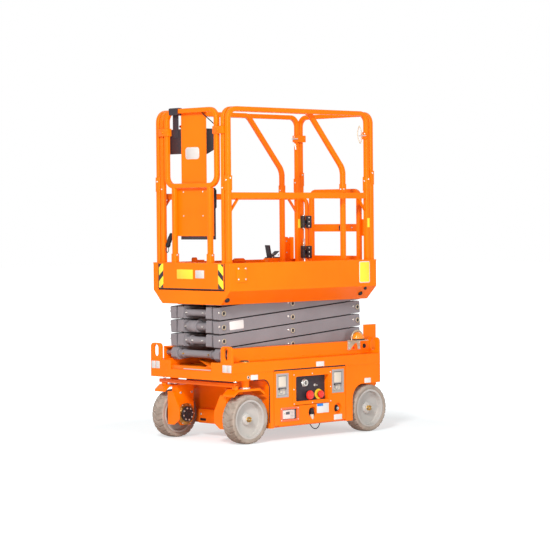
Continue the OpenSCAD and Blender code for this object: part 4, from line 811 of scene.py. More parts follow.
bellyWire = {"y": 0.352, "r": 0.0028, "line": [(0.024, 0.086), (0.012, 0.074), (-0.006, 0.058), (-0.029, 0.0515),
                                               (-0.048, 0.058), (-0.062, 0.074), (-0.066, 0.086)]}
hang = [(x, bellyWire["y"], z) for x, z in bellyWire["line"]]
bar(tray("belly_wire", "blackRubberAndShade", "chassis"), bend(hang, 5), bellyWire["r"], 10)

rungGrips = {"x": (-0.696, -0.664), "z": (0.317, 0.467, 0.617), "reach": 0.200, "step": 0.040}
for z in rungGrips["z"]:
    for row, x in enumerate(rungGrips["x"]):
        count = int(2 * rungGrips["reach"] / rungGrips["step"])
        for i in range(count + 1 - row):
            y = -rungGrips["reach"] + (i + 0.5 * row) * rungGrips["step"]
            ring(tray("rung_grips", "orangePaint", "chassis"), onTop(x, y, z), 0.0030, 0.0075, -0.0003, 0.0022, 14)
print("chassis done")


# doors: panel frame, buttons, key, charger window, ports, plates; painted shade strips in door and latch gaps
panelFrame = {"x": 0.0265, "z": 0.3250, "w": 0.349, "h": 0.218, "holeX": 0.0230, "holeZ": 0.3165, "holeW": 0.296,
              "holeH": 0.157, "t": 0.0022}
panelScrews = [(0.189, 0.407), (0.027, 0.408), (-0.136, 0.408), (0.189, 0.315), (-0.136, 0.315), (0.188, 0.224),
               (0.027, 0.224), (-0.136, 0.224)]


def makePanelFrame(look):
    at = onSide(look["x"], sideFace, look["z"])
    shift = (look["x"] - look["holeX"], look["holeZ"] - look["z"])
    bm = tray("panel_frame", "orangePaint", "door_left")
    outer = roundRect(look["w"], look["h"], 0.014, 6)
    framePlate(bm, at, outer, roundRect(look["holeW"], look["holeH"], 0.010, 6, shift), 0.0002, look["t"])
    lipW, lipH = look["holeW"], look["holeH"]
    framePlate(bm, at, roundRect(lipW + 0.004, lipH + 0.004, 0.012, 6, shift),
               roundRect(lipW, lipH, 0.010, 6, shift), -0.0280, 0.0012)
    for x, z in panelScrews:
        domeScrew(tray("panel_screws", "zincSteel", "door_left"), onSide(x, sideFace + look["t"], z), 0.0095)


makePanelFrame(panelFrame)

stopButtons = {"x": (0.038, -0.060), "z": 0.271, "behind": 0.366, "face": 0.346}
big = onSide(stopButtons["x"][0], stopButtons["behind"], stopButtons["z"])
lathe(tray("stop_button_large", "redPlastic", "door_left"), big,
      [(0, 0), (0.0270, 0), (0.0296, 0.003), (0.0296, 0.0090), (0.0270, 0.0140), (0.0190, 0.0166), (0.008, 0.0174),
       (0, 0.0175)], 40)
small = onSide(stopButtons["x"][1], stopButtons["behind"], stopButtons["z"])
lathe(tray("stop_button_small", "redPlastic", "door_left"), small,
      [(0, 0), (0.0220, 0), (0.0242, 0.0025), (0.0242, 0.0085), (0.0218, 0.0130), (0.0150, 0.0154), (0.006, 0.0161),
       (0, 0.0162)], 36)
ring(tray("stop_collar", "yellowPlastic", "door_left"),
     onSide(stopButtons["x"][1], stopButtons["face"], stopButtons["z"]), 0.0118, 0.0325, 0.0003, 0.0070, 36)
key = onSide(0.064, stopButtons["face"], 0.349)
lathe(tray("key_switch", "zincSteel", "door_left"), key,
      [(0.0202, 0.0003), (0.0250, 0.0003), (0.0250, 0.0040), (0.0215, 0.0060), (0.0215, 0.0145), (0.0195, 0.0165),
       (0.0120, 0.0165), (0.0110, 0.0150), (0.0110, 0.0134), (0.0202, 0.0134)], 32, closed=True)
lathe(tray("key_barrel", "blackMetalAndShade", "door_left"), key,
      [(0, 0.0134), (0.0109, 0.0134), (0.0109, 0.0152), (0, 0.0152)], 20)
plate(tray("key_slot", "zincSteel", "door_left"), shifted(key, 0, 0, 0.0152), 0.0035, 0.0150, 0.0012, 0.0040)
lever = onSide(-0.028, stopButtons["face"], 0.330)
lathe(tray("panel_toggle", "zincSteel", "door_left"), lever,
      [(0, 0.0002), (0.0085, 0.0002), (0.0085, 0.0040), (0.0060, 0.0055), (0.0036, 0.0060), (0.0028, 0.0120),
       (0.0042, 0.0200), (0.0036, 0.0225), (0, 0.0230)], 16)

charger = {"x": 0.227, "z": 0.1635, "w": 0.162, "h": 0.088, "holeW": 0.127, "holeH": 0.062, "unit": 0.3737}


def makeCharger(look):
    at = onSide(look["x"], sideFace, look["z"])
    framePlate(tray("charger_frame", "coralPlastic", "door_left"), at, roundRect(look["w"], look["h"], 0.007),
               roundRect(look["holeW"], look["holeH"], 0.005), 0.0002, 0.0024)
    for i, j in corners:
        here = onSide(look["x"] + i * (look["w"] / 2 - 0.008), sideFace + 0.0024,
                      look["z"] + j * (look["h"] / 2 - 0.008))
        domeScrew(tray("charger_screws", "zincSteel", "door_left"), here, 0.0078)
    face = onSide(look["x"] + 0.008, look["unit"], look["z"] - 0.001)
    plate(tray("charger_unit", "paleUnit", "door_left"), face, 0.108, 0.056, 0.004, 0.0030)
    plate(tray("charger_display_and_reflection", "glassGrey", "door_left"), shifted(face, -0.006, 0.008, 0.0030), 0.034, 0.018,
          0.002, 0.0008)
    # dark glass strip at the window's rear edge: painted reflection of the window cover
    plate(tray("charger_display_and_reflection", "glassGrey", "door_left"),
          onSide(look["x"] - 0.050, look["unit"], look["z"] - 0.001), 0.016, 0.056, 0.002, 0.0022)
    domeScrew(tray("charger_lamp", "greenLamp", "door_left"), shifted(face, -0.036, 0.006, 0.0030), 0.0060)
    for i in range(5):
        plate(tray("charger_ribs", "latchGrey", "door_left"), shifted(face, 0.030, -0.018 + 0.009 * i, 0.0030),
              0.030, 0.0032, 0.0012, 0.0012)


makeCharger(charger)

ports = [(0.026, 0.163), (-0.204, 0.172)]
for x, z in ports:
    at = onSide(x, sideFace, z)
    lathe(tray("port_cups", "orangePaint", "door_left"), at,
          [(0, -0.0205), (0.0345, -0.0205), (0.0354, -0.0005), (0.0332, -0.0005), (0.0315, -0.0180), (0, -0.0180)],
          40)
plugAt = spot((ports[0][0] - 0.002, sideFace - 0.007, ports[0][1] + 0.016), (0, 0, -1), (0, 1, 0))
plug = tray("hanging_plug", "blackRubberAndShade", "door_left")
lathe(plug, plugAt, [(0, -0.010), (0.0085, -0.008), (0.0125, 0.000), (0.0145, 0.010), (0.0145, 0.026),
                     (0.0115, 0.034), (0.0085, 0.036), (0, 0.036)], 20)
lathe(plug, onSide(ports[0][0], sideFace - 0.0182, ports[0][1]),
      [(0, 0), (0.024, 0), (0.024, 0.003), (0.020, 0.0045), (0.012, 0.0045), (0.010, 0.002), (0, 0.002)], 28)
lathe(tray("plug_tip", "latchPale", "door_left"), plugAt,
      [(0, 0.0255), (0.0130, 0.0255), (0.0130, 0.050), (0.0108, 0.060), (0.0060, 0.062), (0.0050, 0.056),
       (0, 0.056)], 16)
socketAt = onSide(ports[1][0] + 0.004, sideFace - 0.0182, ports[1][1])
lathe(tray("port_socket", "blackRubberAndShade", "door_left"), socketAt,
      [(0, 0), (0.0225, 0), (0.0225, 0.004), (0.0160, 0.007), (0.0150, 0.0175), (0.0105, 0.0195), (0, 0.0195)], 28)
ring(tray("port_ring", "zincSteel", "door_left"), socketAt, 0.0040, 0.0092, 0.0193, 0.0218, 20)

# black strip along the top gap of each door: painted shade of that gap
doorGapShade = {"x": 0.0425, "z": 0.4425, "w": 0.632, "h": 0.0075}
for sign in sides.values():
    plate(tray("door_gap_shade", "blackRubberAndShade", "chassis"), onSide(doorGapShade["x"], sign * sideFace, doorGapShade["z"]),
          doorGapShade["w"], doorGapShade["h"], 0.002, 0.0008)

doorPlate = onSide(-0.0675, sideFace, 0.1825)
plate(tray("door_plates", "whitePlate", "door_left"), doorPlate, 0.107, 0.060, 0.003, 0.0010)
plate(tray("door_plate_band", "bluePlate", "door_left"), shifted(doorPlate, -0.0255, 0.0215, 0.0010), 0.054, 0.016,
      0.001, 0.0006)
plate(tray("door_plates", "whitePlate", "door_left"), onSide(-0.204, sideFace, 0.1165), 0.074, 0.034, 0.003, 0.0010)

latch = {"x": (0.289, -0.204), "gap": 0.3302, "top": 0.4062, "w": 0.066, "y": 0.3768, "mid": 0.347, "rivetY": 0.383,
         "paddle": (0.3798, 0.3705), "floor": (0.3669, 0.3060), "bowl": 0.307}
for side, sign in sides.items():
    body = "door_" + side
    for x in latch["x"]:
        # dark plates in each latch gap: painted shade of the gaps
        gapShade = tray("latch_gap_shade_" + side, "blackMetalAndShade", body)
        plate(gapShade, onSide(x, sign * latch["y"], latch["gap"]), latch["w"], 0.0045, 0.0015, 0.0030)
        plate(gapShade, onSide(x, sign * (latch["y"] + 0.0030), latch["top"]), latch["w"], 0.0030, 0.0012, 0.0008)
        lathe(tray("latch_locks_" + side, "blackMetalAndShade", body),
              onSide(x + 0.026, sign * latch["y"], latch["gap"] - 0.006),
              [(0, 0), (0.0060, 0), (0.0060, 0.0040), (0.0050, 0.0050), (0.0016, 0.0050), (0.0014, 0.0030),
               (0, 0.0030)], 16)
        plate(tray("latch_paddles_" + side, "latchPale", body),
              onSide(x, sign * latch["paddle"][0], latch["paddle"][1]), 0.062, 0.064, 0.004, 0.0012)
        plate(tray("latch_floors_" + side, "latchPale", body),
              onSide(x, sign * latch["floor"][0], latch["floor"][1]), 0.066, 0.036, 0.004, 0.0010)
        bowl = onSide(x, sign * (latch["y"] - 0.0085), latch["bowl"])
        ring(tray("latch_bowls_" + side, "latchGrey", body), bowl, 0.010, 0.016, 0, 0.0030, 24)
        for i, j in corners:
            rivet = onSide(x + i * 0.0470, sign * latch["rivetY"], latch["mid"] + j * 0.0690)
            domeScrew(tray("latch_rivets_" + side, "latchGrey", body), rivet, 0.0060)
print("doors done")


# platform: cover plates, blank plates, chamfer plugs, toe board brackets, upright plate, pedal trim
deckSide = {"y": 0.358, "cover": (0.606, 1.0455, 0.088, 0.093), "plateX": -0.4825, "plateZ": 1.0375}
coverScrews = [(0.635, 1.084), (0.575, 1.084), (0.635, 1.018), (0.575, 1.018)]
chamferPlugs = [(0.682, 0.305, 0.892, 0.0165), (-0.486, 0.313, 0.900, 0.0150), (-0.497, 0.347, 0.934, 0.0100)]
for sign in sides.values():
    x, z, w, h = deckSide["cover"]
    plate(tray("cover_plates", "orangePaint", "platform"), onSide(x, sign * deckSide["y"], z), w, h, 0.012, 0.0035)
    for x, z in coverScrews:
        domeScrew(tray("cover_screws", "zincSteel", "platform"), onSide(x, sign * (deckSide["y"] + 0.0035), z),
                  0.0125)
    plateAt = onSide(deckSide["plateX"], sign * deckSide["y"], deckSide["plateZ"])
    plate(tray("deck_plate_borders", "whitePlate", "platform"), plateAt, 0.098, 0.139, 0.009, 0.0008)
    plate(tray("deck_plates", "yellowPlate", "platform"), shifted(plateAt, 0, 0, 0.0008), 0.088, 0.129, 0.006,
          0.0005)
    for x, y, z, r in chamferPlugs:
        at = spot((x, sign * y, z), (0, sign, -1))
        lathe(tray("chamfer_plugs", "blackRubberAndShade", "platform"), at,
              [(0, -0.0004), (r, -0.0004), (r, 0.0045), (r * 0.92, 0.0085), (r * 0.66, 0.0125), (r * 0.30, 0.0142),
               (0, 0.0145)], 24)
toeHump = [(-0.0495, -0.008), (-0.0495, 0.004), (-0.036, 0.0135), (0.036, 0.0135), (0.0495, 0.004),
           (0.0495, -0.008)]
toeHook = [(-0.048, -0.008), (-0.048, 0.019), (-0.041, 0.0265), (-0.020, 0.0265), (-0.014, 0.0200), (-0.012, 0.0100),
           (0.048, 0.0100), (0.048, -0.008)]
toeBrackets = {"y": -0.3538, "z": 1.1165, "rows": [(-0.0245, 0.0150, toeHump), (0.337, 0.0180, toeHook)]}
for x, deep, outline in toeBrackets["rows"]:
    at = spot((x, toeBrackets["y"], toeBrackets["z"]), (0, 1, 0))
    prism(tray("toe_brackets", "orangePaint", "platform"), at, outline, 0.0002, deep)
uprightPlate = {"screwX": -0.468, "screwZ": (1.236, 1.160), "face": -0.350, "flange": (-0.4935, -0.3295, 1.1900),
                "w": 0.042, "h": 0.148}
for z in uprightPlate["screwZ"]:
    domeScrew(tray("upright_plate_screws", "zincSteel", "platform"),
              spot((uprightPlate["screwX"], uprightPlate["face"], z), (0, 1, 0)), 0.0105)
plate(tray("upright_plate_flange", "orangePaint", "platform"), onFront(*uprightPlate["flange"]), uprightPlate["w"],
      uprightPlate["h"], 0.006, 0.0040)
pedalTrim = {"rod": [(-0.345, -0.340, 1.150), (-0.328, -0.332, 1.150), (-0.300, -0.324, 1.150)], "r": 0.0045,
             "face": -0.3118, "screws": ((-0.352, 1.146), (-0.318, 1.140), (-0.296, 1.130))}
bar(tray("pedal_rod", "zincSteel", "platform"), pedalTrim["rod"], pedalTrim["r"], 12)
for x, z in pedalTrim["screws"]:
    domeScrew(tray("pedal_screws", "zincSteel", "platform"), spot((x, pedalTrim["face"], z), (0, 1, 0)), 0.010)

# raised lozenges on the roll-out floor
lozenge = {"from": (-0.47, -0.245), "to": (0.60, 0.245), "step": (0.0535, 0.049), "long": 0.017, "wide": 0.0045,
           "tall": 0.0018, "z": 0.9823}


def floorLozenges(look):
    bm = tray("deck_lozenges", "orangePaint", "extension")
    a, b = look["long"], look["wide"]
    shape = ((a, 0), (a * 0.5, b), (-a * 0.5, b), (-a, 0), (-a * 0.5, -b), (a * 0.5, -b))
    xCount = int((look["to"][0] - look["from"][0]) / look["step"][0])
    yCount = int((look["to"][1] - look["from"][1]) / look["step"][1])
    for i in range(xCount + 1):
        for j in range(yCount + 1):
            at = onTop(look["from"][0] + i * look["step"][0], look["from"][1] + j * look["step"][1], look["z"])
            at = at @ Matrix.Rotation(math.radians(45 if (i + j) % 2 else -45), 4, "Z")
            foot = outlineRow(bm, at, shape, -0.0003)
            top = outlineRow(bm, at, [(u * 0.72, v * 0.55) for u, v in shape], look["tall"])
            skin(bm, foot, top)
            closeEnds(bm, foot, top)


floorLozenges(lozenge)

# roll-out front panel: stripe plates, blank plates, black strips as painted shade of the edge gaps
panelFront = {"x": 0.705, "rows": [  # sideways place, height, width, tallness, corner, thickness
    ("hazard_plates", "hazardStripes", -0.2840, 1.0345, 0.042, 0.152, 0.002, 0.0008),
    ("hazard_plates", "hazardStripes", 0.2740, 1.0345, 0.046, 0.152, 0.002, 0.0008),
    # black strips along the panel's lower and side edges: painted shade of the gaps around the panel
    ("panel_gap_shade", "blackRubberAndShade", 0.3073, 1.036, 0.0046, 0.158, 0.0012, 0.0012),
    ("panel_gap_shade", "blackRubberAndShade", -0.3073, 1.036, 0.0046, 0.158, 0.0012, 0.0012),
    ("panel_gap_shade", "blackRubberAndShade", 0, 0.9530, 0.612, 0.0080, 0.0015, 0.0012),
    ("front_plate_yellow", "yellowPlate", -0.0575, 1.046, 0.150, 0.059, 0.003, 0.0008),
    ("front_plate_white", "whitePlate", 0.082, 1.047, 0.081, 0.049, 0.003, 0.0008)]}
for name, matName, y, z, *size in panelFront["rows"]:
    plate(tray(name, matName, "extension"), onFront(panelFront["x"], y, z), *size)

# front stand and loop: pins, plate screws, blank plate, stay
standTrim = {"pins": (-0.146, 0.184), "pinX": 0.688, "pinZ": 1.165, "face": 0.6727, "screwY": (-0.098, 0.083),
             "screwZ": (1.560, 1.410), "plate": (-0.012, 1.800), "plateSize": (0.128, 0.074),
             "stay": [(0.681, 0.090, 2.050), (0.682, 0.099, 2.042), (0.684, 0.191, 1.983), (0.685, 0.203, 1.976)]}
for y in standTrim["pins"]:
    domeScrew(tray("stand_pins", "zincSteel", "extension"),
              spot((standTrim["pinX"], y, standTrim["pinZ"]), (0, 1, 0)), 0.0125)
for y in standTrim["screwY"]:
    for z in standTrim["screwZ"]:
        domeScrew(tray("stand_plate_screws", "zincSteel", "extension"), onFront(standTrim["face"], y, z), 0.0110)
plate(tray("loop_plate_blank", "whitePlate", "extension"), onFront(standTrim["face"], *standTrim["plate"]),
      *standTrim["plateSize"], 0.020, 0.0010)
bar(tray("loop_stay", "blackRubberAndShade", "extension"), standTrim["stay"], 0.0032, 10)

# control box: pale foot, lid, joystick, stop button, toggles, sleeve and skirt; document box lid
controlBox = {"x": (0.518, 0.668), "y": (-0.260, 0.060), "low": 1.800, "rise": 0.080, "top": 1.950, "lid": 0.0035,
              "stick": (0.585, -0.040), "stop": (0.585, -0.205), "toggles": ((0.600, -0.150), (0.600, -0.115))}


def dressControlBox(look):
    (x0, x1), (y0, y1) = look["x"], look["y"]
    yMid, run = (y0 + y1) / 2, Vector((x0 - x1, 0, look["rise"]))
    down = Vector((-look["rise"], 0, x0 - x1))
    foot = spot(((x0 + x1) / 2, yMid, look["low"] + look["rise"] / 2), down, run)
    plate(tray("control_foot", "latchGrey", "extension"), foot, y1 - y0 - 0.006, run.length - 0.006, 0.008, 0.0025)
    for i, j in corners:
        domeScrew(tray("control_foot_screws", "zincSteel", "extension"), shifted(foot, i * 0.142, j * 0.068, 0.0025),
                  0.008)
    lid = onTop((x0 + x1) / 2, yMid, look["top"])
    plate(tray("control_lid", "blackPlastic", "extension"), lid, y1 - y0 - 0.010, x1 - x0 - 0.010, 0.010,
          look["lid"])
    lidTop = look["top"] + look["lid"]
    stick = onTop(*look["stick"], lidTop)
    lathe(tray("joystick", "blackRubberAndShade", "extension"), stick,
          [(0, 0), (0.036, 0), (0.036, 0.004), (0.030, 0.010), (0.026, 0.012), (0.023, 0.018), (0.018, 0.020),
           (0.015, 0.026), (0.010, 0.030), (0.0085, 0.052), (0.0135, 0.060), (0.0170, 0.074), (0.0165, 0.094),
           (0.0125, 0.104), (0.006, 0.107), (0, 0.1075)], 24)
    ring(tray("joystick_flange", "zincSteel", "extension"), stick, 0.0362, 0.041, -0.0002, 0.003, 32)
    knob = onTop(*look["stop"], lidTop)
    lathe(tray("control_stop", "redPlastic", "extension"), knob,
          [(0, 0.004), (0.010, 0.004), (0.010, 0.014), (0.019, 0.016), (0.020, 0.022), (0.017, 0.028),
           (0.008, 0.030), (0, 0.0302)], 28)
    ring(tray("control_stop_collar", "yellowPlastic", "extension"), knob, 0.0102, 0.027, -0.0002, 0.0045, 32)
    for x, y in look["toggles"]:
        post = onTop(x, y, lidTop)
        lathe(tray("control_toggles", "zincSteel", "extension"), post,
              [(0, 0), (0.0085, 0), (0.0085, 0.004), (0.0055, 0.0055), (0.0030, 0.006), (0.0026, 0.013),
               (0.0040, 0.022), (0.0034, 0.024), (0, 0.0245)], 14)
    face = spot((x0, yMid, look["top"] - 0.035), (-1, 0, 0))
    plate(tray("control_rear_plate", "glassGrey", "extension"), face, 0.160, 0.040, 0.006, 0.0020)
    front = onFront(x1, yMid, (look["low"] + look["top"]) / 2)
    plate(tray("control_front", "blackPlastic", "extension"), shifted(front, 0, 0, -0.0030), y1 - y0 + 0.004,
          look["top"] - look["low"] + 0.004, 0.010, 0.0060)


dressControlBox(controlBox)
strapSleeve = {"place": (0.688, -0.150, 2.0632), "w": 0.041, "h": 0.045, "hole": 0.0306, "half": 0.040}
framePlate(tray("strap_sleeve", "blackPlastic", "extension"), spot(strapSleeve["place"], (0, 1, 0)),
           roundRect(strapSleeve["w"], strapSleeve["h"], 0.009),
           roundRect(strapSleeve["hole"], strapSleeve["hole"], 0.012, 4, (0, 0.0018)), -strapSleeve["half"],
           strapSleeve["half"])
boxSkirt = [(0.6675, 1.802), (0.6675, 1.774), (0.660, 1.772), (0.522, 1.836), (0.519, 1.844), (0.519, 1.8815)]
prism(tray("control_skirt", "blackPlastic", "extension"), spot((0, -0.016, 0), (0, -1, 0)), boxSkirt, -0.0745,
      0.0745)
papers = {"x": 0.608, "lid": 1.515, "catch": 1.468, "hinge": 1.577, "hingeY": (-0.100, 0.100)}
plate(tray("paper_box_lid", "blackPlastic", "extension"), spot((papers["x"], 0, papers["lid"]), (-1, 0, 0)), 0.264,
      0.120, 0.010, 0.0060)
plate(tray("paper_box_catch", "latchGrey", "extension"), spot((papers["x"] - 0.006, 0, papers["catch"]), (-1, 0, 0)),
      0.034, 0.044, 0.004, 0.0040)
for y in papers["hingeY"]:
    hinge = spot((papers["x"] - 0.004, y, papers["hinge"]), (0, 1, 0))
    lathe(tray("paper_box_hinges", "blackMetalAndShade", "extension"), hinge,
          [(0, -0.020), (0.0045, -0.020), (0.0052, -0.018), (0.0052, 0.018), (0.0045, 0.020), (0, 0.020)], 14)

# parked plug with its ring on the right front post
parkedPlug = {"place": (0.652, -0.2445, 1.291), "run": (0.026, -0.006, -0.077), "ring": (0.680, -0.2505, 1.198),
              "ringHalf": (0.012, 0.017), "r": 0.0026}
parked = spot(parkedPlug["place"], parkedPlug["run"], (0, 1, 0))
lathe(tray("parked_plug", "blackRubberAndShade", "extension"), parked,
      [(0, -0.012), (0.0085, -0.010), (0.0125, 0.000), (0.0125, 0.014), (0.0150, 0.017), (0.0150, 0.046),
       (0.0130, 0.049), (0.0130, 0.056), (0.0150, 0.059), (0.0150, 0.074), (0.0120, 0.080), (0.0085, 0.082),
       (0, 0.082)], 20)
x, y, z = parkedPlug["ring"]
wide, tall = parkedPlug["ringHalf"]
loopPoints = [(x + wide * math.cos(a), y, z + tall * math.sin(a))
              for a in (math.radians(30 * i) for i in range(12))]
bar(tray("parked_ring", "blackMetalAndShade", "extension"), loopPoints, parkedPlug["r"], 8, closed=True)

# rail posts: socket and roll-out screws, lock plates with pins, wire loop, blank post labels
railPosts = {"x": (0.678, -0.544), "y": 0.322, "half": 0.019, "frontZ": 1.628, "sideZ": 1.640, "rearX": -0.578,
             "rearZ": 1.680, "rearY": ((-0.306, 1), (0.344, 1), (-0.344, -1), (0.306, -1)), "screw": 0.0115}
rollPosts = {"y": 0.283, "out": 0.301, "front": (0.693, 1.580), "rear": (-0.344, 1.575), "sideX": -0.356}
sockets = tray("socket_screws", "zincSteel", "platform")
rollOuts = tray("roll_out_screws", "zincSteel", "extension")
for sign in sides.values():
    for x in railPosts["x"]:
        domeScrew(sockets, onFront(x + railPosts["half"], sign * railPosts["y"], railPosts["frontZ"]),
                  railPosts["screw"])
        domeScrew(sockets, onSide(x, sign * (railPosts["y"] + railPosts["half"]), railPosts["sideZ"]),
                  railPosts["screw"])
    for x, z in (rollPosts["front"], rollPosts["rear"]):
        domeScrew(rollOuts, onFront(x, sign * rollPosts["y"], z), railPosts["screw"])
    domeScrew(rollOuts, onSide(rollPosts["sideX"], sign * rollPosts["out"], rollPosts["rear"][1]),
              railPosts["screw"])
for y, out in railPosts["rearY"]:
    domeScrew(sockets, spot((railPosts["rearX"], y, railPosts["rearZ"]), (0, out, 0)), railPosts["screw"])

frontLocks = {"x": 0.7034, "y": (0.214, 0.300), "z": (1.912, 1.960), "t": 0.004, "back": 0.036}


def frontLock(sign, look):
    bm = tray("front_locks", "orangePaint", "extension")
    y0, y1 = look["y"]
    z0, z1 = look["z"]
    mid = sign * (y0 + y1) / 2
    plate(bm, onFront(look["x"], mid, (z0 + z1) / 2), y1 - y0, z1 - z0, 0.004, look["t"])
    for y, out in ((y0, -1), (y1, 1)):
        at = spot((look["x"] - look["back"] / 2 + 0.002, sign * y, (z0 + z1) / 2), (0, sign * out, 0))
        plate(bm, at, look["back"], z1 - z0, 0.004, 0.0035)
    domeScrew(tray("front_lock_pins", "orangePaint", "extension"),
              onFront(look["x"] + look["t"], mid, (z0 + z1) / 2), 0.016)


for sign in sides.values():
    frontLock(sign, frontLocks)

rearLocks = {"x": (-0.600, -0.5275), "y": (0.297, 0.3405), "z": (1.900, 1.945)}


def rearLock(sign, look):
    bm = tray("rear_locks", "orangePaint", "platform")
    (x0, x1), (y0, y1), (z0, z1) = look["x"], look["y"], look["z"]
    zMid, tall = (z0 + z1) / 2, z1 - z0
    plate(bm, spot(((x0 + x1) / 2, sign * y0, zMid), (0, -sign, 0)), x1 - x0, tall, 0.004, 0.0040)
    plate(bm, onFront(x1 - 0.0005, sign * (y0 + y1) / 2, zMid), y1 - y0 + 0.006, tall, 0.004, 0.0040)
    pins = tray("rear_lock_pins", "zincSteel", "platform")
    domeScrew(pins, onFront(x1 + 0.0035, sign * (y1 - 0.012), z1 - 0.010), 0.0110)
    bar(pins, [(x1 + 0.012, sign * (y0 - 0.012), zMid), (x1 + 0.010, sign * (y0 + 0.010), zMid),
               (x1 + 0.010, sign * (y1 + 0.004), zMid)], 0.0036, 10)


for sign in sides.values():
    rearLock(sign, rearLocks)
hangingPin = [(-0.519, -0.318, 1.892), (-0.520, -0.313, 1.874), (-0.521, -0.308, 1.850)]
bar(tray("hanging_pin", "zincSteel", "platform"), hangingPin, 0.0048, 10)
wireLoop = {"x": -0.519, "y": 0.289, "z": 1.930, "lean": 0.004, "half": 0.017, "wave": 0.003, "tall": 0.056,
            "r": 0.0030}


def makeWireLoop(look):
    points = []
    for i in range(24):
        a = math.radians(15 * i)
        y = look["y"] + look["half"] * math.cos(a) + look["wave"] * math.cos(3 * a)
        points.append((look["x"] + look["lean"] * math.sin(a), y, look["z"] + look["tall"] * math.sin(a)))
    bar(tray("wire_loop", "wireBeige", "platform"), points, look["r"], 8, closed=True)


makeWireLoop(wireLoop)
postLabels = {"places": ((-0.544, 0.3385, 1.357), (-0.544, -0.3055, 1.354)), "w": 0.021, "h": 0.060}
for place in postLabels["places"]:
    plate(tray("post_labels", "yellowPlate", "platform"), spot(place, (0, 1, 0)), postLabels["w"], postLabels["h"],
          0.002, 0.0007)

# gate: bent post beside the hinges, hinge leaves with screws, hinge pin ends, latch block
gatePost = [(-0.582, -0.270, 0.979), (-0.582, -0.270, 1.200), (-0.582, -0.270, 1.460), (-0.582, -0.2715, 1.484),
            (-0.582, -0.278, 1.503), (-0.582, -0.290, 1.514), (-0.581, -0.308, 1.517)]
bar(tray("gate_post", "orangePaint", "platform"), gatePost, 0.0142, 20)
gateSet = {"hinges": (1.365, 1.163), "tall": 0.082, "axis": (-0.553, -0.27175), "screws": (-0.028, 0, 0.028),
           "leaves": [("gate_leaves", "gate_leaf_screws", "gate", -0.563, (-0.2560, -0.2060), 0.0070, 0.008),
                      ("post_leaves", "post_leaf_screws", "platform", -0.5613, (-0.3400, -0.2900), 0.0060, -0.010)]}
for z in gateSet["hinges"]:
    for name, screws, body, leafX, (y0, y1), thick, shift in gateSet["leaves"]:
        leaf = onFront(leafX, (y0 + y1) / 2, z)
        plate(tray(name, "blackMetalAndShade", body), leaf, y1 - y0, gateSet["tall"], 0.004, thick)
        for v in gateSet["screws"]:
            domeScrew(tray(screws, "zincSteel", body), shifted(leaf, shift, v, thick), 0.0105)
    ends = tray("hinge_pin_ends", "zincSteel", "platform")
    x, y = gateSet["axis"]
    ring(tray("gate_knuckles", "blackMetalAndShade", "gate"), onTop(x, y, z - 0.0128), 0.0101, 0.0110, 0, 0.0256, 24)
    plate(tray("gate_knuckles", "blackMetalAndShade", "gate"), onFront(-0.5572, -0.2560, z), 0.020, 0.0260, 0.001, 0.0012)
    lathe(ends, onTop(x, y, z + gateSet["tall"] / 2),
          [(0, -0.0003), (0.0085, -0.0003), (0.0085, 0.004), (0.0060, 0.0065), (0, 0.0065)], 16)
    lathe(ends, spot((x, y, z - gateSet["tall"] / 2), (0, 0, -1), (1, 0, 0)),
          [(0, -0.0003), (0.0075, -0.0003), (0.0075, 0.005), (0.0050, 0.0070), (0, 0.0070)], 16)
x, y = gateSet["axis"]
lathe(tray("hinge_spring", "zincSteel", "platform"), onTop(x, y, 1.2110),
      [(0, 0), (0.0055, 0), (0.0070, 0.003), (0.0070, 0.008), (0.0055, 0.011), (0.0055, 0.030), (0.0070, 0.033),
       (0.0070, 0.038), (0.0040, 0.041), (0, 0.041)], 16)
gateCatch = {"x": -0.574, "block": (0.0565, 1.324), "screw": (0.158, 1.325)}
plate(tray("gate_catch", "blackPlastic", "gate"), onFront(gateCatch["x"], *gateCatch["block"]), 0.016, 0.032, 0.003,
      0.0110)
domeScrew(tray("gate_catch_screw", "zincSteel", "gate"), onFront(gateCatch["x"], *gateCatch["screw"]), 0.0125)
print("platform done")

for name, (bm, matName, body) in trays.items():
    piece(name, bm, matName, body)
print("small pieces:", len(trays))


# floor, backdrop light and lamps
light = {"sky": 0.47, "back": 1.0, "floor": (0.57, 0.62, 0.63, 1), "floorDim": (0.62, 0.50, 0.47, 1),
         "glow": (0.53, 1.0), "glowReach": (1.3, 2.6),
         "lamps": [("key", (6.4, 4.2, 5.0), 1.3, 550, (1, 1, 1)), ("fill", (2.0, 6.0, 0.7), 1.2, 160, (1, 1, 1)),
                   ("low", (5.6, 2.6, 0.40), 0.7, 75, (1, 0.68, 0.60))]}


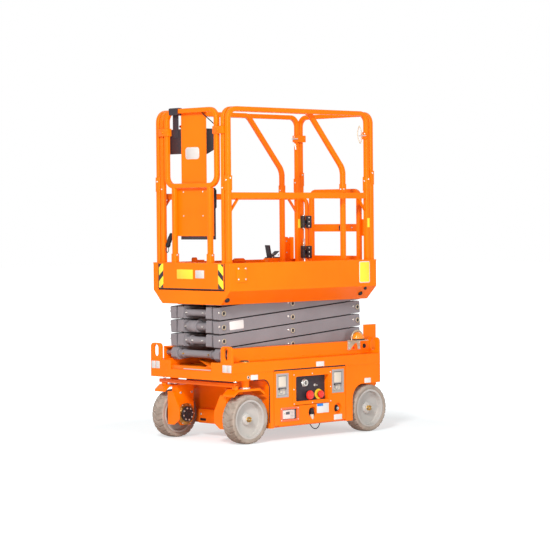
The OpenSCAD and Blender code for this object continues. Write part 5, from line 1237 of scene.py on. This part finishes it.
def whiteToEye(tree, low, high):
    path = tree.nodes.new("ShaderNodeLightPath").outputs
    seen = path["Is Camera Ray"]
    for kind in ("Is Glossy Ray", "Is Transmission Ray"):
        seen = mathNode(tree, "MAXIMUM", seen, path[kind])
    return mapRange(tree, seen, 0.0, 1.0, low, high)


# a value that changes with the distance from the machine's middle
def fade(tree, reach, values):
    far = tree.nodes.new("ShaderNodeVectorMath")
    far.operation = "LENGTH"
    tree.links.new(objectSpot(tree), far.inputs[0])
    return mapRange(tree, far.outputs["Value"], *reach, *values)


def makeStage(look):
    world = bpy.data.worlds.new("studio")
    world.use_nodes = True
    tree = world.node_tree
    back = tree.nodes["Background"]
    back.inputs["Color"].default_value = (1, 1, 1, 1)
    tree.links.new(whiteToEye(tree, look["sky"], look["back"]), back.inputs["Strength"])
    scene.world = world
    mesh = bpy.data.meshes.new("floor")
    size = 40
    mesh.from_pydata([(-size, -size, 0), (size, -size, 0), (size, size, 0), (-size, size, 0)], [], [(0, 1, 2, 3)])
    floor = bpy.data.objects.new("floor", mesh)
    scene.collection.objects.link(floor)
    floor.location.z = -0.0005
    mat, tree, shader = newMaterial("paleFloor")
    tree.links.new(mixColor(tree, whiteToEye(tree, 0.0, 1.0), look["floorDim"], look["floor"]),
                   shader.inputs["Base Color"])
    shader.inputs["Roughness"].default_value = 0.9
    shader.inputs["Specular IOR Level"].default_value = 0.0
    shader.inputs["Emission Color"].default_value = (1, 1, 1, 1)
    power = whiteToEye(tree, 0.0, fade(tree, look["glowReach"], look["glow"]))
    tree.links.new(power, shader.inputs["Emission Strength"])
    mesh.materials.append(mat)
    for name, place, size, watts, tint in look["lamps"]:
        lamp = bpy.data.lights.new(name, "AREA")
        lamp.size = size
        lamp.energy = watts
        lamp.color = tint
        obj = bpy.data.objects.new(name, lamp)
        scene.collection.objects.link(obj)
        obj.location = place
        obj.rotation_euler = (Vector((0, 0, 1.0)) - Vector(place)).to_track_quat("-Z", "Y").to_euler()


makeStage(light)
print("stage done")
